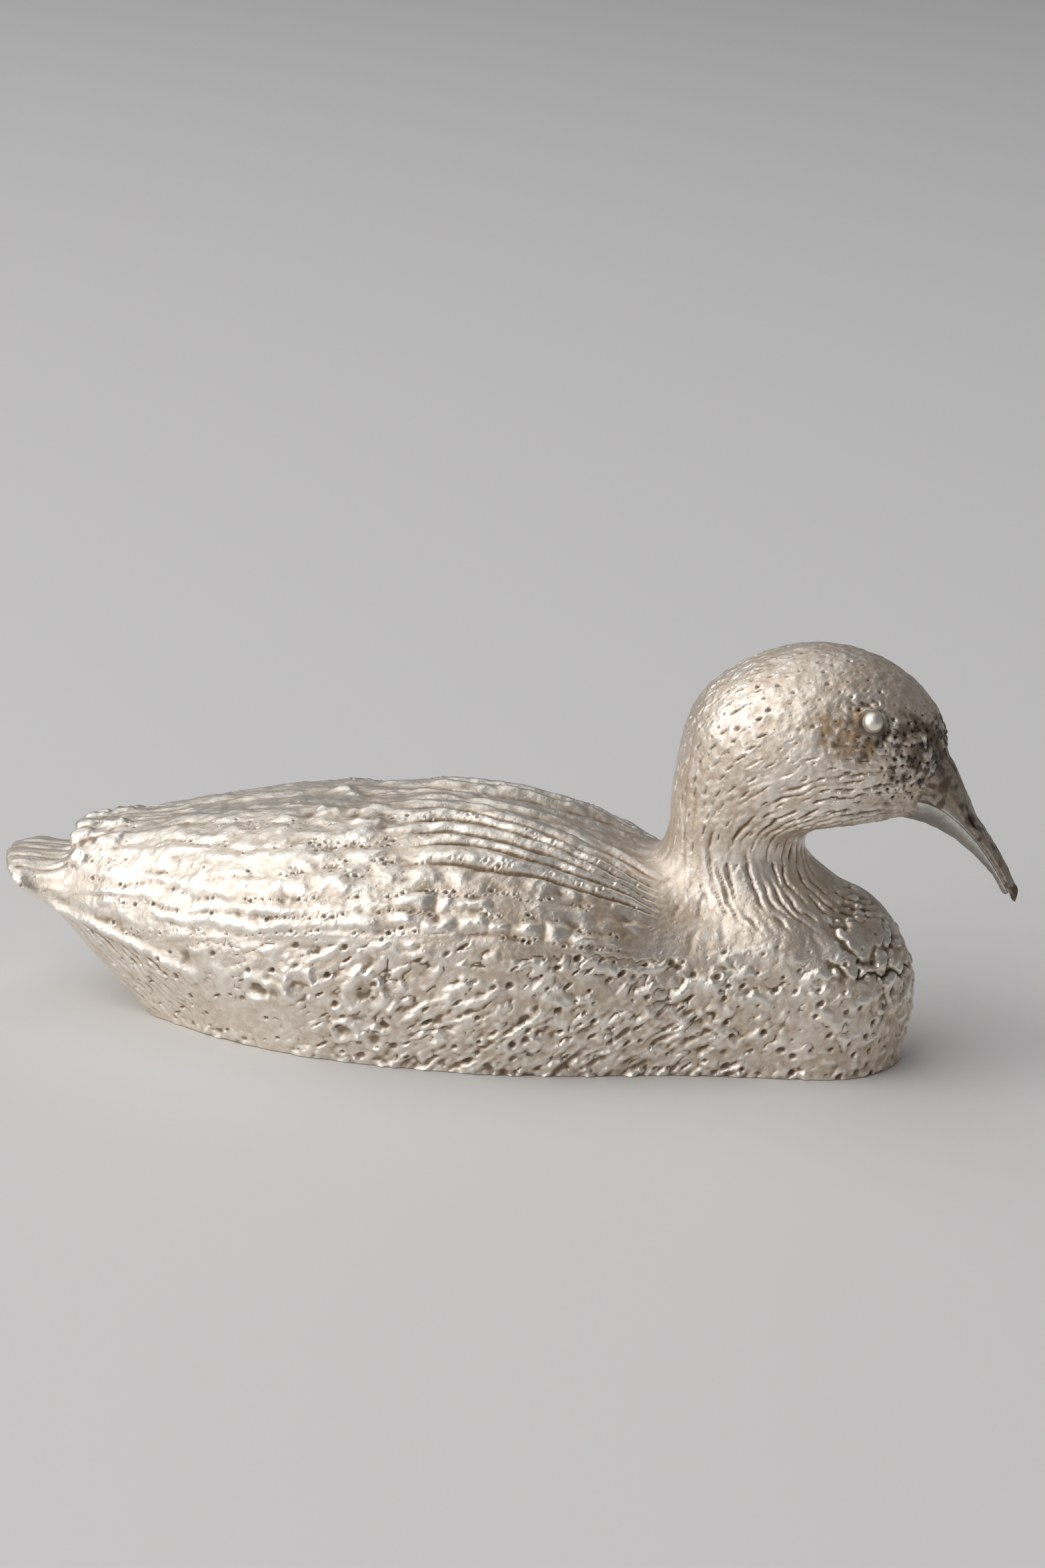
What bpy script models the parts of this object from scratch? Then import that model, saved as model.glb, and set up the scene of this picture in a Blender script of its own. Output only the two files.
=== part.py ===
# Silver duck figurine: a hollow casting in separate pieces, bill towards +X, standing on z = 0.
import bisect
from math import cos, pi, sin, sqrt

import bmesh
import bpy
from mathutils import Matrix, Vector

MM = 0.001  # one millimetre in metres

# Driving dimensions: body
BODY_LENGTH = 100.0 * MM     # blunt end of the rump to the front of the breast
BODY_WIDTH = 44.0 * MM       # across the flanks
BASE_WIDTH = 37.4 * MM       # across the sole
BACK_HEIGHT = 26.9 * MM      # top of the back above the sole
SEAM_HEIGHT = 10.2 * MM      # parting plane between the lower and the upper castings
RUMP_RISE = 8.6 * MM         # height of the under side at the blunt end of the rump
RIM_RISE = 1.0 * MM          # how far the rim beside that under side stands above its middle
SOLE_REAR = 9.8 * MM         # blunt end of the rump to the rear end of the sole
SOLE_FRONT = 1.6 * MM        # front end of the sole to the front of the breast
BREAST_HEIGHT = 8.0 * MM     # height of the foremost point of the breast
BREAST_DEPTH = 15.2 * MM     # how deep the breast would round off below that point without the sole
WALL = 2.4 * MM              # thickness of the hollow castings
LAP_INSET = 1.1 * MM         # lap joint at the seam, measured in from the outer face
LAP_HEIGHT = 1.4 * MM        # height of the lap above the seam
CLEARANCE = 0.3 * MM         # gap wherever two pieces seat on each other

# Driving dimensions: sole plate
PLATE_THICKNESS = 1.0 * MM
PLATE_MARGIN = 3.2 * MM      # edge of the sole to the edge of the plate's rebate
PLATE_LEDGE = 1.8 * MM       # width of the ledge that the plate is soldered to

# Driving dimensions: neck and head
NECK_SETBACK = 29.9 * MM     # back of the neck to the front of the breast
NECK_DEPTH = 16.0 * MM       # back of the neck to the throat
NECK_WIDTH = 15.8 * MM
THROAT_HEIGHT = 26.0 * MM    # height where the neck is thinnest
NECK_FOOT = 14.0 * MM        # height of the neck's lowest slice, inside the breast
FOOT_SETBACK = 1.8 * MM      # how far that slice starts in front of the back of the neck
FOOT_DEPTH = 25.0 * MM       # back of the neck to the front of that slice
FOOT_WIDTH = 25.4 * MM
SHOULDER_LENGTH = 7.0 * MM   # how far the joint with the back slants forward on its way down
SHOULDER_TOP = 22.4 * MM     # top of that joint
HEAD_LENGTH = 31.0 * MM      # nape to forehead
HEAD_WIDTH = 22.0 * MM
HEAD_OFFSET = 1.3 * MM       # back of the neck to the nape, at the height of the cheek
CHEEK_HEIGHT = 37.0 * MM     # height where the head is longest and widest
CROWN_RISE = 12.2 * MM       # cheek to crown
NECK_BORE = 9.0 * MM         # diameter of the core hole up the neck
NECK_BORE_TOP = 36.0 * MM
NECK_BORE_SETBACK = 8.2 * MM  # back of the neck to the middle of that hole

# Driving dimensions: bill
BILL_REACH = 11.6 * MM       # front of the breast to the tip of the bill
BILL_TIP_HEIGHT = 20.4 * MM
BILL_WIDTH = 9.8 * MM        # at the root
BILL_TIP_WIDTH = 2.2 * MM
BILL_TOP_ROOT = 38.3 * MM    # height of the root's upper edge, at the forehead groove
BILL_PART_ROOT = 32.6 * MM   # height of the parting line at the root
BILL_UNDER_ROOT = 29.5 * MM  # height of the root's lower edge
BILL_TOP_SETBACK = 0.4 * MM  # forehead to the root's upper edge
BILL_PART_SETBACK = 1.5 * MM
BILL_UNDER_SETBACK = 3.2 * MM
BILL_TIP_DEPTH = 0.5 * MM    # thickness of each half at the tip
BILL_NAIL = 1.0 * MM         # how far the upper half reaches past the lower one
BILL_BOW = 1.9 * MM          # how far the parting line bows above a straight one
BILL_TOP_DIP = 0.5 * MM      # how far the upper edge dips below a straight one
BILL_UNDER_BOW = 1.6 * MM    # how far the lower edge bows above a straight one
BILL_SOCKET = 2.4 * MM       # depth of the roots inside the head

# Driving dimensions: eyes
EYE_DIAMETER = 2.6 * MM
EYE_HEIGHT = 42.6 * MM
EYE_SETBACK = 5.7 * MM       # front of the breast to the eye
EYE_SINK = 0.3 * MM          # centre of the bead below the surface of the head
EYE_STEM = 1.2 * MM          # diameter
EYE_STEM_LENGTH = 3.4 * MM
EYE_FACING = (0.25, 0.9, 0.35)  # direction of the left eye

# Driving dimensions: wings
WING_LENGTH = 62.0 * MM
WING_SETBACK = 29.6 * MM     # front of the wing to the front of the breast
WING_SEAT = 1.0 * MM         # depth of the wing's pocket in the back
WING_PROUD = 0.5 * MM        # how far the wing's edge stands out of the back
FEATHER_RISE = 0.8 * MM      # how far a feather's end stands above the next one
FEATHER_ROWS = 4
FEATHERS_IN_ROW = 7

# Driving dimensions: tail
TAIL_LENGTH = 8.4 * MM
TAIL_WIDTH = 18.0 * MM
TAIL_TOP = 17.5 * MM         # height of the middle of the fan
TAIL_RIM = 11.8 * MM         # height of the fan's side rim at the root
TAIL_TIP_HEIGHT = 16.6 * MM
TAIL_TIP_THICKNESS = 1.2 * MM
TAIL_FEATHERS = 7
TAIL_GROOVE = 0.35 * MM      # depth of the grooves between the tail feathers
TAIL_NOTCH = 0.9 * MM        # depth of the notches between their ends
TANG_LENGTH = 5.0 * MM
TANG_WIDTH = 7.0 * MM
TANG_HEIGHT = 2.6 * MM

# Places along X, with the origin at the middle of the whole length
OVERALL_LENGTH = TAIL_LENGTH + BODY_LENGTH + BILL_REACH
REAR_X = TAIL_LENGTH - OVERALL_LENGTH / 2
FRONT_X = REAR_X + BODY_LENGTH
NECK_X = FRONT_X - NECK_SETBACK
HEAD_X = NECK_X + HEAD_OFFSET + HEAD_LENGTH / 2
FOREHEAD_X = HEAD_X + HEAD_LENGTH / 2

# Outlines of the body: share of the body's length from rump to breast, then share of the named size
RIDGE = [(0, 0.775), (0.07, 0.82), (0.14, 0.855), (0.22, 0.92), (0.32, 0.975), (0.42, 1.0),
         (0.52, 0.98), (0.62, 0.892), (0.70, 0.80), (0.80, 0.785), (0.90, 0.776), (1.0, 0.73)]
FLANK = [(0, 0.42), (0.07, 0.575), (0.14, 0.735), (0.22, 0.875), (0.32, 0.978), (0.42, 1.0),
         (0.52, 0.985), (0.60, 0.91), (0.68, 0.785), (0.74, 0.69), (0.82, 0.605), (1.0, 0.47)]
SOLE = [(0, 0.32), (0.098, 0.31), (0.15, 0.52), (0.20, 0.68), (0.26, 0.85), (0.34, 0.968),
        (0.44, 1.0), (0.52, 0.99), (0.60, 0.91), (0.73, 0.69), (0.84, 0.575), (1.0, 0.46)]
FLANK_HEIGHT = [(0, 0.47), (0.1, 0.445), (0.2, 0.425), (0.5, 0.405), (0.8, 0.37), (1.0, 0.32)]

# Edges of the folded wing: share of its length from tip to front, then share of the way up the back
WING_LOW = [(0, 0.72), (0.12, 0.46), (0.32, 0.18), (0.55, 0.085), (0.88, 0.09), (1.0, 0.2)]
WING_HIGH = [(0, 0.86), (0.15, 0.93), (0.4, 0.95), (0.65, 0.935), (0.85, 0.86), (1.0, 0.66)]

# Outlines of the neck: share of the height, then share of the change in size.
# Below the throat they run down to the foot, and above it up to the cheek.
FOOT_BACK = [(0, 0), (0.3, 0.0), (0.5, 0.2), (1.0, 1.0)]
FOOT_FRONT = [(0, 0), (0.14, 0.02), (0.31, 0.24), (0.5, 0.58), (1.0, 1.0)]
FOOT_SIDE = [(0, 0), (0.3, 0.125), (0.5, 0.4), (0.75, 0.79), (1.0, 1.0)]
CHEEK_BACK = [(0, 0), (0.36, 0.14), (0.73, 0.5), (1.0, 1.0)]
CHEEK_FRONT = [(0, 0), (0.127, 0.06), (0.236, 0.22), (0.31, 0.465), (0.375, 0.7), (0.49, 0.87),
               (0.73, 0.97), (1.0, 1.0)]
CHEEK_SIDE = [(0, 0), (0.18, 0.16), (0.455, 0.58), (0.73, 0.87), (1.0, 1.0)]
CHEEK_SLICES = (0, 0.08, 0.15, 0.21, 0.26, 0.31, 0.345, 0.39, 0.45, 0.54, 0.66, 0.82)

# Fineness of the lofts
NOSE_START = 0.9             # share of the body's length where the breast starts to close
SECTION_POWER = 2.2          # fullness of the back's cross-section
HEAD_POWER = 2.2             # fullness of the head in plan
NAPE_FALL = 1.3              # how much faster the head rounds off behind than in front
FACE_TAPER = 0.08            # how much narrower the face is than the back of the head
NECK_SIDES = 32              # points around one slice of the neck or the head
MIN_HALF_WIDTH = 0.3 * MM    # keeps the closing ends of the lofts open enough to mesh


def curve(points):
    """Return a smooth function through the points, a Hermite curve with flattened peaks."""
    xs = [p[0] for p in points]
    ys = [p[1] for p in points]
    slopes = [(ys[i + 1] - ys[i]) / (xs[i + 1] - xs[i]) for i in range(len(xs) - 1)]
    bends = [slopes[0]]
    for before, after in zip(slopes, slopes[1:]):
        bends.append(0.0 if before * after <= 0 else 2 * before * after / (before + after))
    bends.append(slopes[-1])

    def value(x):
        i = min(max(bisect.bisect_right(xs, x) - 1, 0), len(xs) - 2)
        step = xs[i + 1] - xs[i]
        f = min(max((x - xs[i]) / step, 0.0), 1.0)
        rise = f * f * (3 - 2 * f)
        return (ys[i] * (1 - rise) + ys[i + 1] * rise
                + step * f * (1 - f) * (bends[i] * (1 - f) - bends[i + 1] * f))

    return value


ridge, flank, sole, flank_height = curve(RIDGE), curve(FLANK), curve(SOLE), curve(FLANK_HEIGHT)
wing_low, wing_high = curve(WING_LOW), curve(WING_HIGH)
foot_back, foot_front, foot_side = curve(FOOT_BACK), curve(FOOT_FRONT), curve(FOOT_SIDE)
cheek_back, cheek_front, cheek_side = curve(CHEEK_BACK), curve(CHEEK_FRONT), curve(CHEEK_SIDE)


def make_object(name, mesh_data, parent=None):
    """Link one mesh object into the scene."""
    mesh = bpy.data.meshes.new(name)
    mesh_data.normal_update()
    mesh_data.to_mesh(mesh)
    mesh_data.free()
    obj = bpy.data.objects.new(name, mesh)
    bpy.context.scene.collection.objects.link(obj)
    obj.parent = parent
    return obj


def loft(rings):
    """Skin closed rings of equal count, close both ends and turn the faces outward."""
    data = bmesh.new()
    rows = [[data.verts.new(point) for point in ring] for ring in rings]
    for low, high in zip(rows, rows[1:]):
        for i in range(len(low)):
            j = (i + 1) % len(low)
            data.faces.new((low[i], low[j], high[j], high[i]))
    data.faces.new(rows[0])
    data.faces.new(rows[-1])
    bmesh.ops.recalc_face_normals(data, faces=data.faces)
    return data


def mirrored(half):
    """Complete a half section that runs from the keel to the ridge into a closed ring."""
    return half + [(x, -y, z) for x, y, z in reversed(half[1:-1])]


def hide_tool(obj):
    """Keep a cutting or joining shape out of the finished model."""
    obj.hide_render = True
    obj.display_type = "WIRE"
    return obj


def combine(obj, tool, operation):
    """Cut, join or intersect an object with a helper shape."""
    step = obj.modifiers.new(operation.lower(), "BOOLEAN")
    step.operation = operation
    step.solver = "EXACT"
    step.object = hide_tool(tool)


def finish(obj, colour, roughness):
    """Give a piece its own metal and smooth shading."""
    metal = bpy.data.materials.new(obj.name + "_metal")
    metal.use_nodes = True
    shader = metal.node_tree.nodes["Principled BSDF"]
    shader.inputs["Base Color"].default_value = (*colour, 1.0)
    shader.inputs["Roughness"].default_value = roughness
    shader.inputs["Metallic"].default_value = 1.0
    obj.data.materials.append(metal)
    obj.data.shade_smooth()
    obj.data.set_sharp_from_angle(angle=0.6)


SILVER = (0.78, 0.74, 0.68)
PALE_SILVER = (0.84, 0.82, 0.78)
DARK_SILVER = (0.55, 0.49, 0.42)


def body_half_section(share, inset):
    """Half section of the body from the keel to the ridge, drawn in by the inset."""
    end = 1 - inset / BODY_LENGTH
    nose = sqrt(max(0.0, 1 - max(0.0, (share - NOSE_START) / (end - NOSE_START)) ** 2))
    sole_end = 1 - SOLE_FRONT / BODY_LENGTH
    sole_nose = sqrt(max(0.0, 1 - max(0.0, (share - NOSE_START) / (sole_end - NOSE_START)) ** 2))
    rump = max(0.0, 1 - share * BODY_LENGTH / SOLE_REAR)
    keel = BREAST_HEIGHT - BREAST_DEPTH * nose
    low = max(0.0, RUMP_RISE * rump, keel) + inset * nose
    wide = max(flank(share) * BODY_WIDTH / 2 * nose - inset * nose, MIN_HALF_WIDTH)
    foot = max(sole(share) * BASE_WIDTH / 2 * sole_nose - inset, MIN_HALF_WIDTH)
    foot = min(foot, wide)
    belt = flank_height(share) * BACK_HEIGHT
    belt = BREAST_HEIGHT + (belt - BREAST_HEIGHT) * nose
    top = BREAST_HEIGHT + (ridge(share) * BACK_HEIGHT - BREAST_HEIGHT) * nose - inset * nose
    top = max(top, belt + MIN_HALF_WIDTH)
    low = min(low, belt - MIN_HALF_WIDTH)
    x = REAR_X + share * BODY_LENGTH
    rim = min(low + RIM_RISE * rump, belt - MIN_HALF_WIDTH)
    half = [(x, foot * k / 2, low + (rim - low) * (k / 2) ** 2) for k in range(3)]
    for k in range(1, 6):
        f = k / 5
        half.append((x, foot + (wide - foot) * (1 - (1 - f) ** 2), rim + (belt - rim) * f))
    for k in range(1, 9):
        half.append(back_point(x, wide, belt, top, k / 8))
    return half


def back_point(x, wide, belt, top, q):
    """Point of the upper section, from the widest line (q = 0) to the ridge (q = 1)."""
    fullness = 2 / SECTION_POWER
    across = max(cos(q * pi / 2), 0.0) ** fullness
    return (x, wide * across if q < 1 else 0.0, belt + (top - belt) * sin(q * pi / 2) ** fullness)


def body_form(inset):
    """Closed form of the whole body, drawn in by the inset on every side."""
    start, end = inset / BODY_LENGTH, 1 - inset / BODY_LENGTH
    steps = 20
    shares = [start + (NOSE_START - start) * k / steps for k in range(steps + 1)]
    for f in (0.3, 0.52, 0.7, 0.83, 0.92, 0.975, 0.998):
        shares.append(NOSE_START + (end - NOSE_START) * f)
    return loft([mirrored(body_half_section(share, inset)) for share in shares])


def slab(low, high):
    """Plain block between two corners, used as a helper shape."""
    data = bmesh.new()
    size = Vector(high) - Vector(low)
    place = Matrix.Translation((Vector(low) + Vector(high)) / 2) @ Matrix.Diagonal((*size, 1.0))
    bmesh.ops.create_cube(data, size=1.0, matrix=place)
    return data


def above(height):
    """Block over everything above a height."""
    return slab((-2 * BODY_LENGTH, -2 * BODY_WIDTH, height), (2 * BODY_LENGTH, 2 * BODY_WIDTH, 1.0))


def below(height):
    """Block over everything below a height."""
    return slab((-2 * BODY_LENGTH, -2 * BODY_WIDTH, -1.0), (2 * BODY_LENGTH, 2 * BODY_WIDTH, height))


def shoulder_block(offset, front):
    """Block on one side of the slanted joint between the back and the neck casting."""
    top_x, low_x = NECK_X - CLEARANCE + offset, NECK_X - CLEARANCE + SHOULDER_LENGTH + offset
    slope = (low_x - top_x) / (SHOULDER_TOP - SEAM_HEIGHT)
    reach = 2 * BODY_LENGTH if front else -2 * BODY_LENGTH
    rings = []
    for height in (-BACK_HEIGHT, 3 * BACK_HEIGHT):
        edge = top_x + slope * (SHOULDER_TOP - height)
        rings.append([(edge, -BODY_WIDTH, height), (edge, BODY_WIDTH, height),
                      (reach, BODY_WIDTH, height), (reach, -BODY_WIDTH, height)])
    return loft(rings)


def sole_form(inset, low, high):
    """Upright prism over the outline of the sole, drawn in by the inset."""
    start = SOLE_REAR / BODY_LENGTH + inset / BODY_LENGTH
    end = 1 - (SOLE_FRONT + inset) / BODY_LENGTH
    steps = 24
    edge = []
    for k in range(steps + 1):
        share = start + (end - start) * (1 - cos(pi * k / steps)) / 2
        closing = sqrt(max(0.0, 1 - max(0.0, (share - NOSE_START) / (end - NOSE_START)) ** 2))
        half = max(sole(share) * BASE_WIDTH / 2 * closing - inset, MIN_HALF_WIDTH)
        edge.append((REAR_X + share * BODY_LENGTH, half))
    outline = edge + [(x, -y) for x, y in reversed(edge)]
    return loft([[(x, y, z) for x, y in outline] for z in (low, high)])


def lap_form(inset, top):
    """Belt of the body around the seam, for the lap joint."""
    belt = make_object("lap_belt", body_form(inset))
    combine(belt, make_object("lap_over", above(top)), "DIFFERENCE")
    combine(belt, make_object("lap_under", below(SEAM_HEIGHT - WALL)), "DIFFERENCE")
    return belt


def lower_hull(duck):
    """Boat-shaped lower casting with the lip of the lap joint and an opening in its sole."""
    hull = make_object("lower_hull", body_form(0.0), duck)
    combine(hull, make_object("hull_top", above(SEAM_HEIGHT - CLEARANCE / 2)), "DIFFERENCE")
    combine(hull, lap_form(LAP_INSET + CLEARANCE, SEAM_HEIGHT + LAP_HEIGHT), "UNION")
    combine(hull, make_object("hull_core", body_form(WALL)), "DIFFERENCE")
    opening = sole_form(PLATE_MARGIN + PLATE_LEDGE, -WALL, 2 * WALL)
    combine(hull, make_object("hull_opening", opening), "DIFFERENCE")
    rebate = sole_form(PLATE_MARGIN, -WALL, PLATE_THICKNESS + CLEARANCE)
    combine(hull, make_object("hull_rebate", rebate), "DIFFERENCE")
    finish(hull, SILVER, 0.34)


def base_plate(duck):
    """Sheet that closes the sole, flush with its under side."""
    plate = make_object("base_plate", sole_form(PLATE_MARGIN + CLEARANCE, 0.0, PLATE_THICKNESS), duck)
    finish(plate, DARK_SILVER, 0.5)


def upper_half(name, duck):
    """Body above the seam, hollow and stepped for the lap joint."""
    half = make_object(name, body_form(0.0), duck)
    combine(half, make_object(name + "_under", below(SEAM_HEIGHT + CLEARANCE / 2)), "DIFFERENCE")
    return half


def hollow(half):
    """Core out an upper casting and step it for the lap joint."""
    combine(half, lap_form(LAP_INSET, SEAM_HEIGHT + LAP_HEIGHT + CLEARANCE), "DIFFERENCE")
    combine(half, make_object(half.name + "_core", body_form(WALL)), "DIFFERENCE")


def wing_form(side, seat, proud, relief, margin):
    """Folded wing laid on the flank of the back, pointed at both ends, with rows of feathers."""
    front = FRONT_X - WING_SETBACK + margin
    length = WING_LENGTH + 2 * margin
    columns, rows, inner_rows = 56, 3 * FEATHER_ROWS, 3
    data = bmesh.new()

    def spot(u, v, out):
        x = front - length * (1 - u)
        share = (x - REAR_X) / BODY_LENGTH
        half = body_half_section(share, 0.0)
        wide, belt, top = half[7][1], half[7][2], half[-1][2]
        middle = (wing_low(u) + wing_high(u)) / 2
        spread = (wing_high(u) - wing_low(u)) / 2 * blunt(u) + margin / BACK_HEIGHT
        q = middle + spread * (2 * v - 1)
        _, y, z = back_point(x, wide, belt, top, q)
        _, y_up, z_up = back_point(x, wide, belt, top, q + 0.02)
        normal = Vector((z_up - z, y - y_up)).normalized()
        return Vector((x, side * (y + out * normal[0]), z + out * normal[1]))

    def blunt(u):
        return sqrt(1 - max(0.0, (u - 0.9) / 0.1, (0.08 - u) / 0.08) ** 2)

    def feather(u, v):
        row = min(int(v * FEATHER_ROWS), FEATHER_ROWS - 1)
        across = sin(pi * (v * FEATHER_ROWS - row)) ** 0.7
        along = (u * FEATHERS_IN_ROW + 0.5 * (row % 2)) % 1.0
        return across * min(along / 0.12, (1 - along) / 0.88 * 0.9 + 0.1)

    first, last = data.verts.new(spot(0.0, 0.5, 0.0)), data.verts.new(spot(1.0, 0.5, 0.0))
    outer, inner = [], []
    for i in range(1, columns):
        u = i / columns
        swell = blunt(u)
        outer.append([data.verts.new(spot(u, j / rows, swell * (proud + relief * feather(u, j / rows))))
                      for j in range(rows + 1)])
        inner.append([data.verts.new(spot(u, 1 - j / inner_rows, -swell * seat))
                      for j in range(inner_rows + 1)])
    rings = [a + b for a, b in zip(outer, inner)]
    for low, high in zip(rings, rings[1:]):
        for i in range(len(low)):
            j = (i + 1) % len(low)
            data.faces.new((low[i], low[j], high[j], high[i]))
    for ring, tip in ((rings[0], first), (rings[-1], last)):
        for i in range(len(ring)):
            data.faces.new((ring[i], ring[(i + 1) % len(ring)], tip))
    bmesh.ops.recalc_face_normals(data, faces=data.faces)
    return data


def wings(duck):
    """Right and left wings, right at -Y."""
    for name, side in (("right_wing", -1), ("left_wing", 1)):
        wing = make_object(name, wing_form(side, WING_SEAT, WING_PROUD, FEATHER_RISE, 0.0), duck)
        finish(wing, PALE_SILVER, 0.3)


def upper_back(duck):
    """Upper casting: mantle and rump, with pockets for the wings and a slot for the tail."""
    back = upper_half("upper_back", duck)
    combine(back, make_object("back_end", shoulder_block(-CLEARANCE / 2, True)), "DIFFERENCE")
    hollow(back)
    for side in (-1, 1):
        pocket = wing_form(side, WING_SEAT + CLEARANCE, 4 * WALL, 0.0, CLEARANCE)
        combine(back, make_object("wing_pocket", pocket), "DIFFERENCE")
    combine(back, make_object("tang_slot", tang_form(CLEARANCE)), "DIFFERENCE")
    finish(back, SILVER, 0.32)


def tang_form(margin):
    """Flat tang of the tail, or with a margin the slot that takes it."""
    height = (TAIL_TOP + SEAM_HEIGHT + LAP_HEIGHT + CLEARANCE) / 2
    low = (REAR_X - WALL, -TANG_WIDTH / 2 - margin, height - TANG_HEIGHT / 2 - margin)
    high = (REAR_X + TANG_LENGTH + margin, TANG_WIDTH / 2 + margin, height + TANG_HEIGHT / 2 + margin)
    return slab(low, high)


def tail_fan(duck):
    """Wedge-shaped tail with grooved feathers and a notched round end, and its tang."""
    root_x = REAR_X - CLEARANCE
    length = TAIL_LENGTH - CLEARANCE
    tip_top, tip_low = TAIL_TIP_HEIGHT + TAIL_TIP_THICKNESS / 2, TAIL_TIP_HEIGHT - TAIL_TIP_THICKNESS / 2
    steps = 4 * TAIL_FEATHERS
    rings = []
    for f in (0.0, 0.2, 0.4, 0.6, 0.75, 0.87, 0.95, 1.0):
        half = TAIL_WIDTH / 2 * (1 - 0.75 * max(0.0, 2 * f - 1) ** 2.4)
        top = TAIL_TOP + (tip_top - TAIL_TOP) * max(0.0, f / 0.3 - 0.7 / 0.3) ** 2
        low = RUMP_RISE + (tip_low - RUMP_RISE) * f
        rim = min(TAIL_RIM + (TAIL_TIP_HEIGHT - TAIL_RIM) * f, top - TAIL_TIP_THICKNESS / 4)

        def point(y, height, groove):
            between = 1 - abs(sin(TAIL_FEATHERS * pi * (y + 1) / 2))
            x = root_x - length * f + TAIL_NOTCH * f * f * between * (1 - y * y)
            return x, half * y, height - groove * between * (1 - abs(y))

        ring = []
        for k in range(steps + 1):
            y = -1 + 2 * k / steps
            ring.append(point(y, rim + (top - rim) * sqrt(1 - y * y), TAIL_GROOVE))
        for k in range(1, steps // 2):
            y = 1 - 4 * k / steps
            ring.append(point(y, rim + (low - rim) * (1 - abs(y) ** 1.6), 0.0))
        rings.append(ring)
    fan = make_object("tail_fan", loft(rings), duck)
    combine(fan, make_object("tail_tang", tang_form(0.0)), "UNION")
    finish(fan, SILVER, 0.33)


def neck_slice(height):
    """Back, front and half width of the neck or the head at one height."""
    if height >= CHEEK_HEIGHT:
        dome = sqrt(max(0.0, 1 - ((height - CHEEK_HEIGHT) / CROWN_RISE) ** 2))
        half_length = HEAD_LENGTH / 2
        return HEAD_X - half_length * dome ** NAPE_FALL, HEAD_X + half_length * dome, HEAD_WIDTH / 2 * dome
    if height >= THROAT_HEIGHT:
        f = (height - THROAT_HEIGHT) / (CHEEK_HEIGHT - THROAT_HEIGHT)
        back = HEAD_OFFSET * cheek_back(f)
        front = NECK_DEPTH + (HEAD_OFFSET + HEAD_LENGTH - NECK_DEPTH) * cheek_front(f)
        width = NECK_WIDTH + (HEAD_WIDTH - NECK_WIDTH) * cheek_side(f)
    else:
        f = (THROAT_HEIGHT - height) / (THROAT_HEIGHT - NECK_FOOT)
        back = FOOT_SETBACK * foot_back(f)
        front = NECK_DEPTH + (FOOT_DEPTH - NECK_DEPTH) * foot_front(f)
        width = NECK_WIDTH + (FOOT_WIDTH - NECK_WIDTH) * foot_side(f)
    return NECK_X + back, NECK_X + front, width / 2


def rounded(value):
    """Sine or cosine drawn out to the head's fuller plan."""
    return abs(value) ** (2 / HEAD_POWER) * (1 if value > 0 else -1)


def neck_ring(height):
    """Egg-shaped slice of the neck or the head at one height, narrower in front above the throat."""
    back, front, half = neck_slice(height)
    taper = FACE_TAPER * min(1.0, max(0.0, (height - THROAT_HEIGHT) / (CHEEK_HEIGHT - THROAT_HEIGHT)))
    ring = []
    for k in range(NECK_SIDES):
        turn = 2 * pi * k / NECK_SIDES
        along, across = rounded(cos(turn)), rounded(sin(turn))
        ring.append(((back + front) / 2 + (front - back) / 2 * along,
                     half * across * (1 - taper * along), height))
    return ring


def neck_form():
    """Neck and head as horizontal slices from inside the breast to the crown."""
    heights = [NECK_FOOT + (THROAT_HEIGHT - NECK_FOOT) * k / 7 for k in range(7)]
    heights += [THROAT_HEIGHT + (CHEEK_HEIGHT - THROAT_HEIGHT) * f for f in CHEEK_SLICES]
    heights += [CHEEK_HEIGHT + CROWN_RISE * sin(pi / 2 * k / 10) for k in range(10)]
    heights.append(CHEEK_HEIGHT + CROWN_RISE * 0.9985)
    return loft([neck_ring(height) for height in heights])


def bowed(start, end, bow, t):
    """Point on a line in side view that bows up by the given height half way along."""
    point = Vector(start) * (1 - t) + Vector(end) * t
    point[1] += 4 * bow * t * (1 - t)
    return point


def bill_form(upper, margin):
    """Half of the bill above or below the parting line, with its root inside the head."""
    tip = (FRONT_X + BILL_REACH - BILL_TIP_DEPTH, BILL_TIP_HEIGHT)
    part_root = (FOREHEAD_X - BILL_PART_SETBACK, BILL_PART_ROOT)
    edge_root = ((FOREHEAD_X - BILL_TOP_SETBACK, BILL_TOP_ROOT) if upper
                 else (FOREHEAD_X - BILL_UNDER_SETBACK, BILL_UNDER_ROOT))
    edge_bow = -BILL_TOP_DIP if upper else BILL_UNDER_BOW
    length = (Vector(tip) - Vector(part_root)).length
    end = 1.0 if upper else 1 - BILL_NAIL / length
    into_head = Vector((-1.0, 0.15)).normalized() * (BILL_SOCKET + margin)
    tip_rise = Vector((0.5, 0.87)) if upper else Vector((-0.5, -0.87))
    steps = 12
    rings = []
    for k in range(-1, steps + 1):
        t = end * max(k, 0) / steps
        part = bowed(part_root, tip, BILL_BOW, t)
        rise = bowed(edge_root, tip, edge_bow, t) - part
        depth = max(rise.length, BILL_TIP_DEPTH) + margin
        rise = (rise.normalized() * (1 - t) + tip_rise * t).normalized()
        foot = part + rise * (CLEARANCE / 2 - margin)
        if k < 0:
            foot += into_head
        half = BILL_TIP_WIDTH / 2 + (BILL_WIDTH - BILL_TIP_WIDTH) / 2 * (1 - t) ** 1.1 + margin
        ring = []
        for j in range(11):
            turn = pi * j / 10
            point = foot + rise * depth * sin(turn)
            ring.append((point[0], half * cos(turn), point[1]))
        ring += [(foot[0], half * y, foot[1]) for y in (-0.5, 0.0, 0.5)]
        rings.append(ring)
    return loft(rings)


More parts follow.
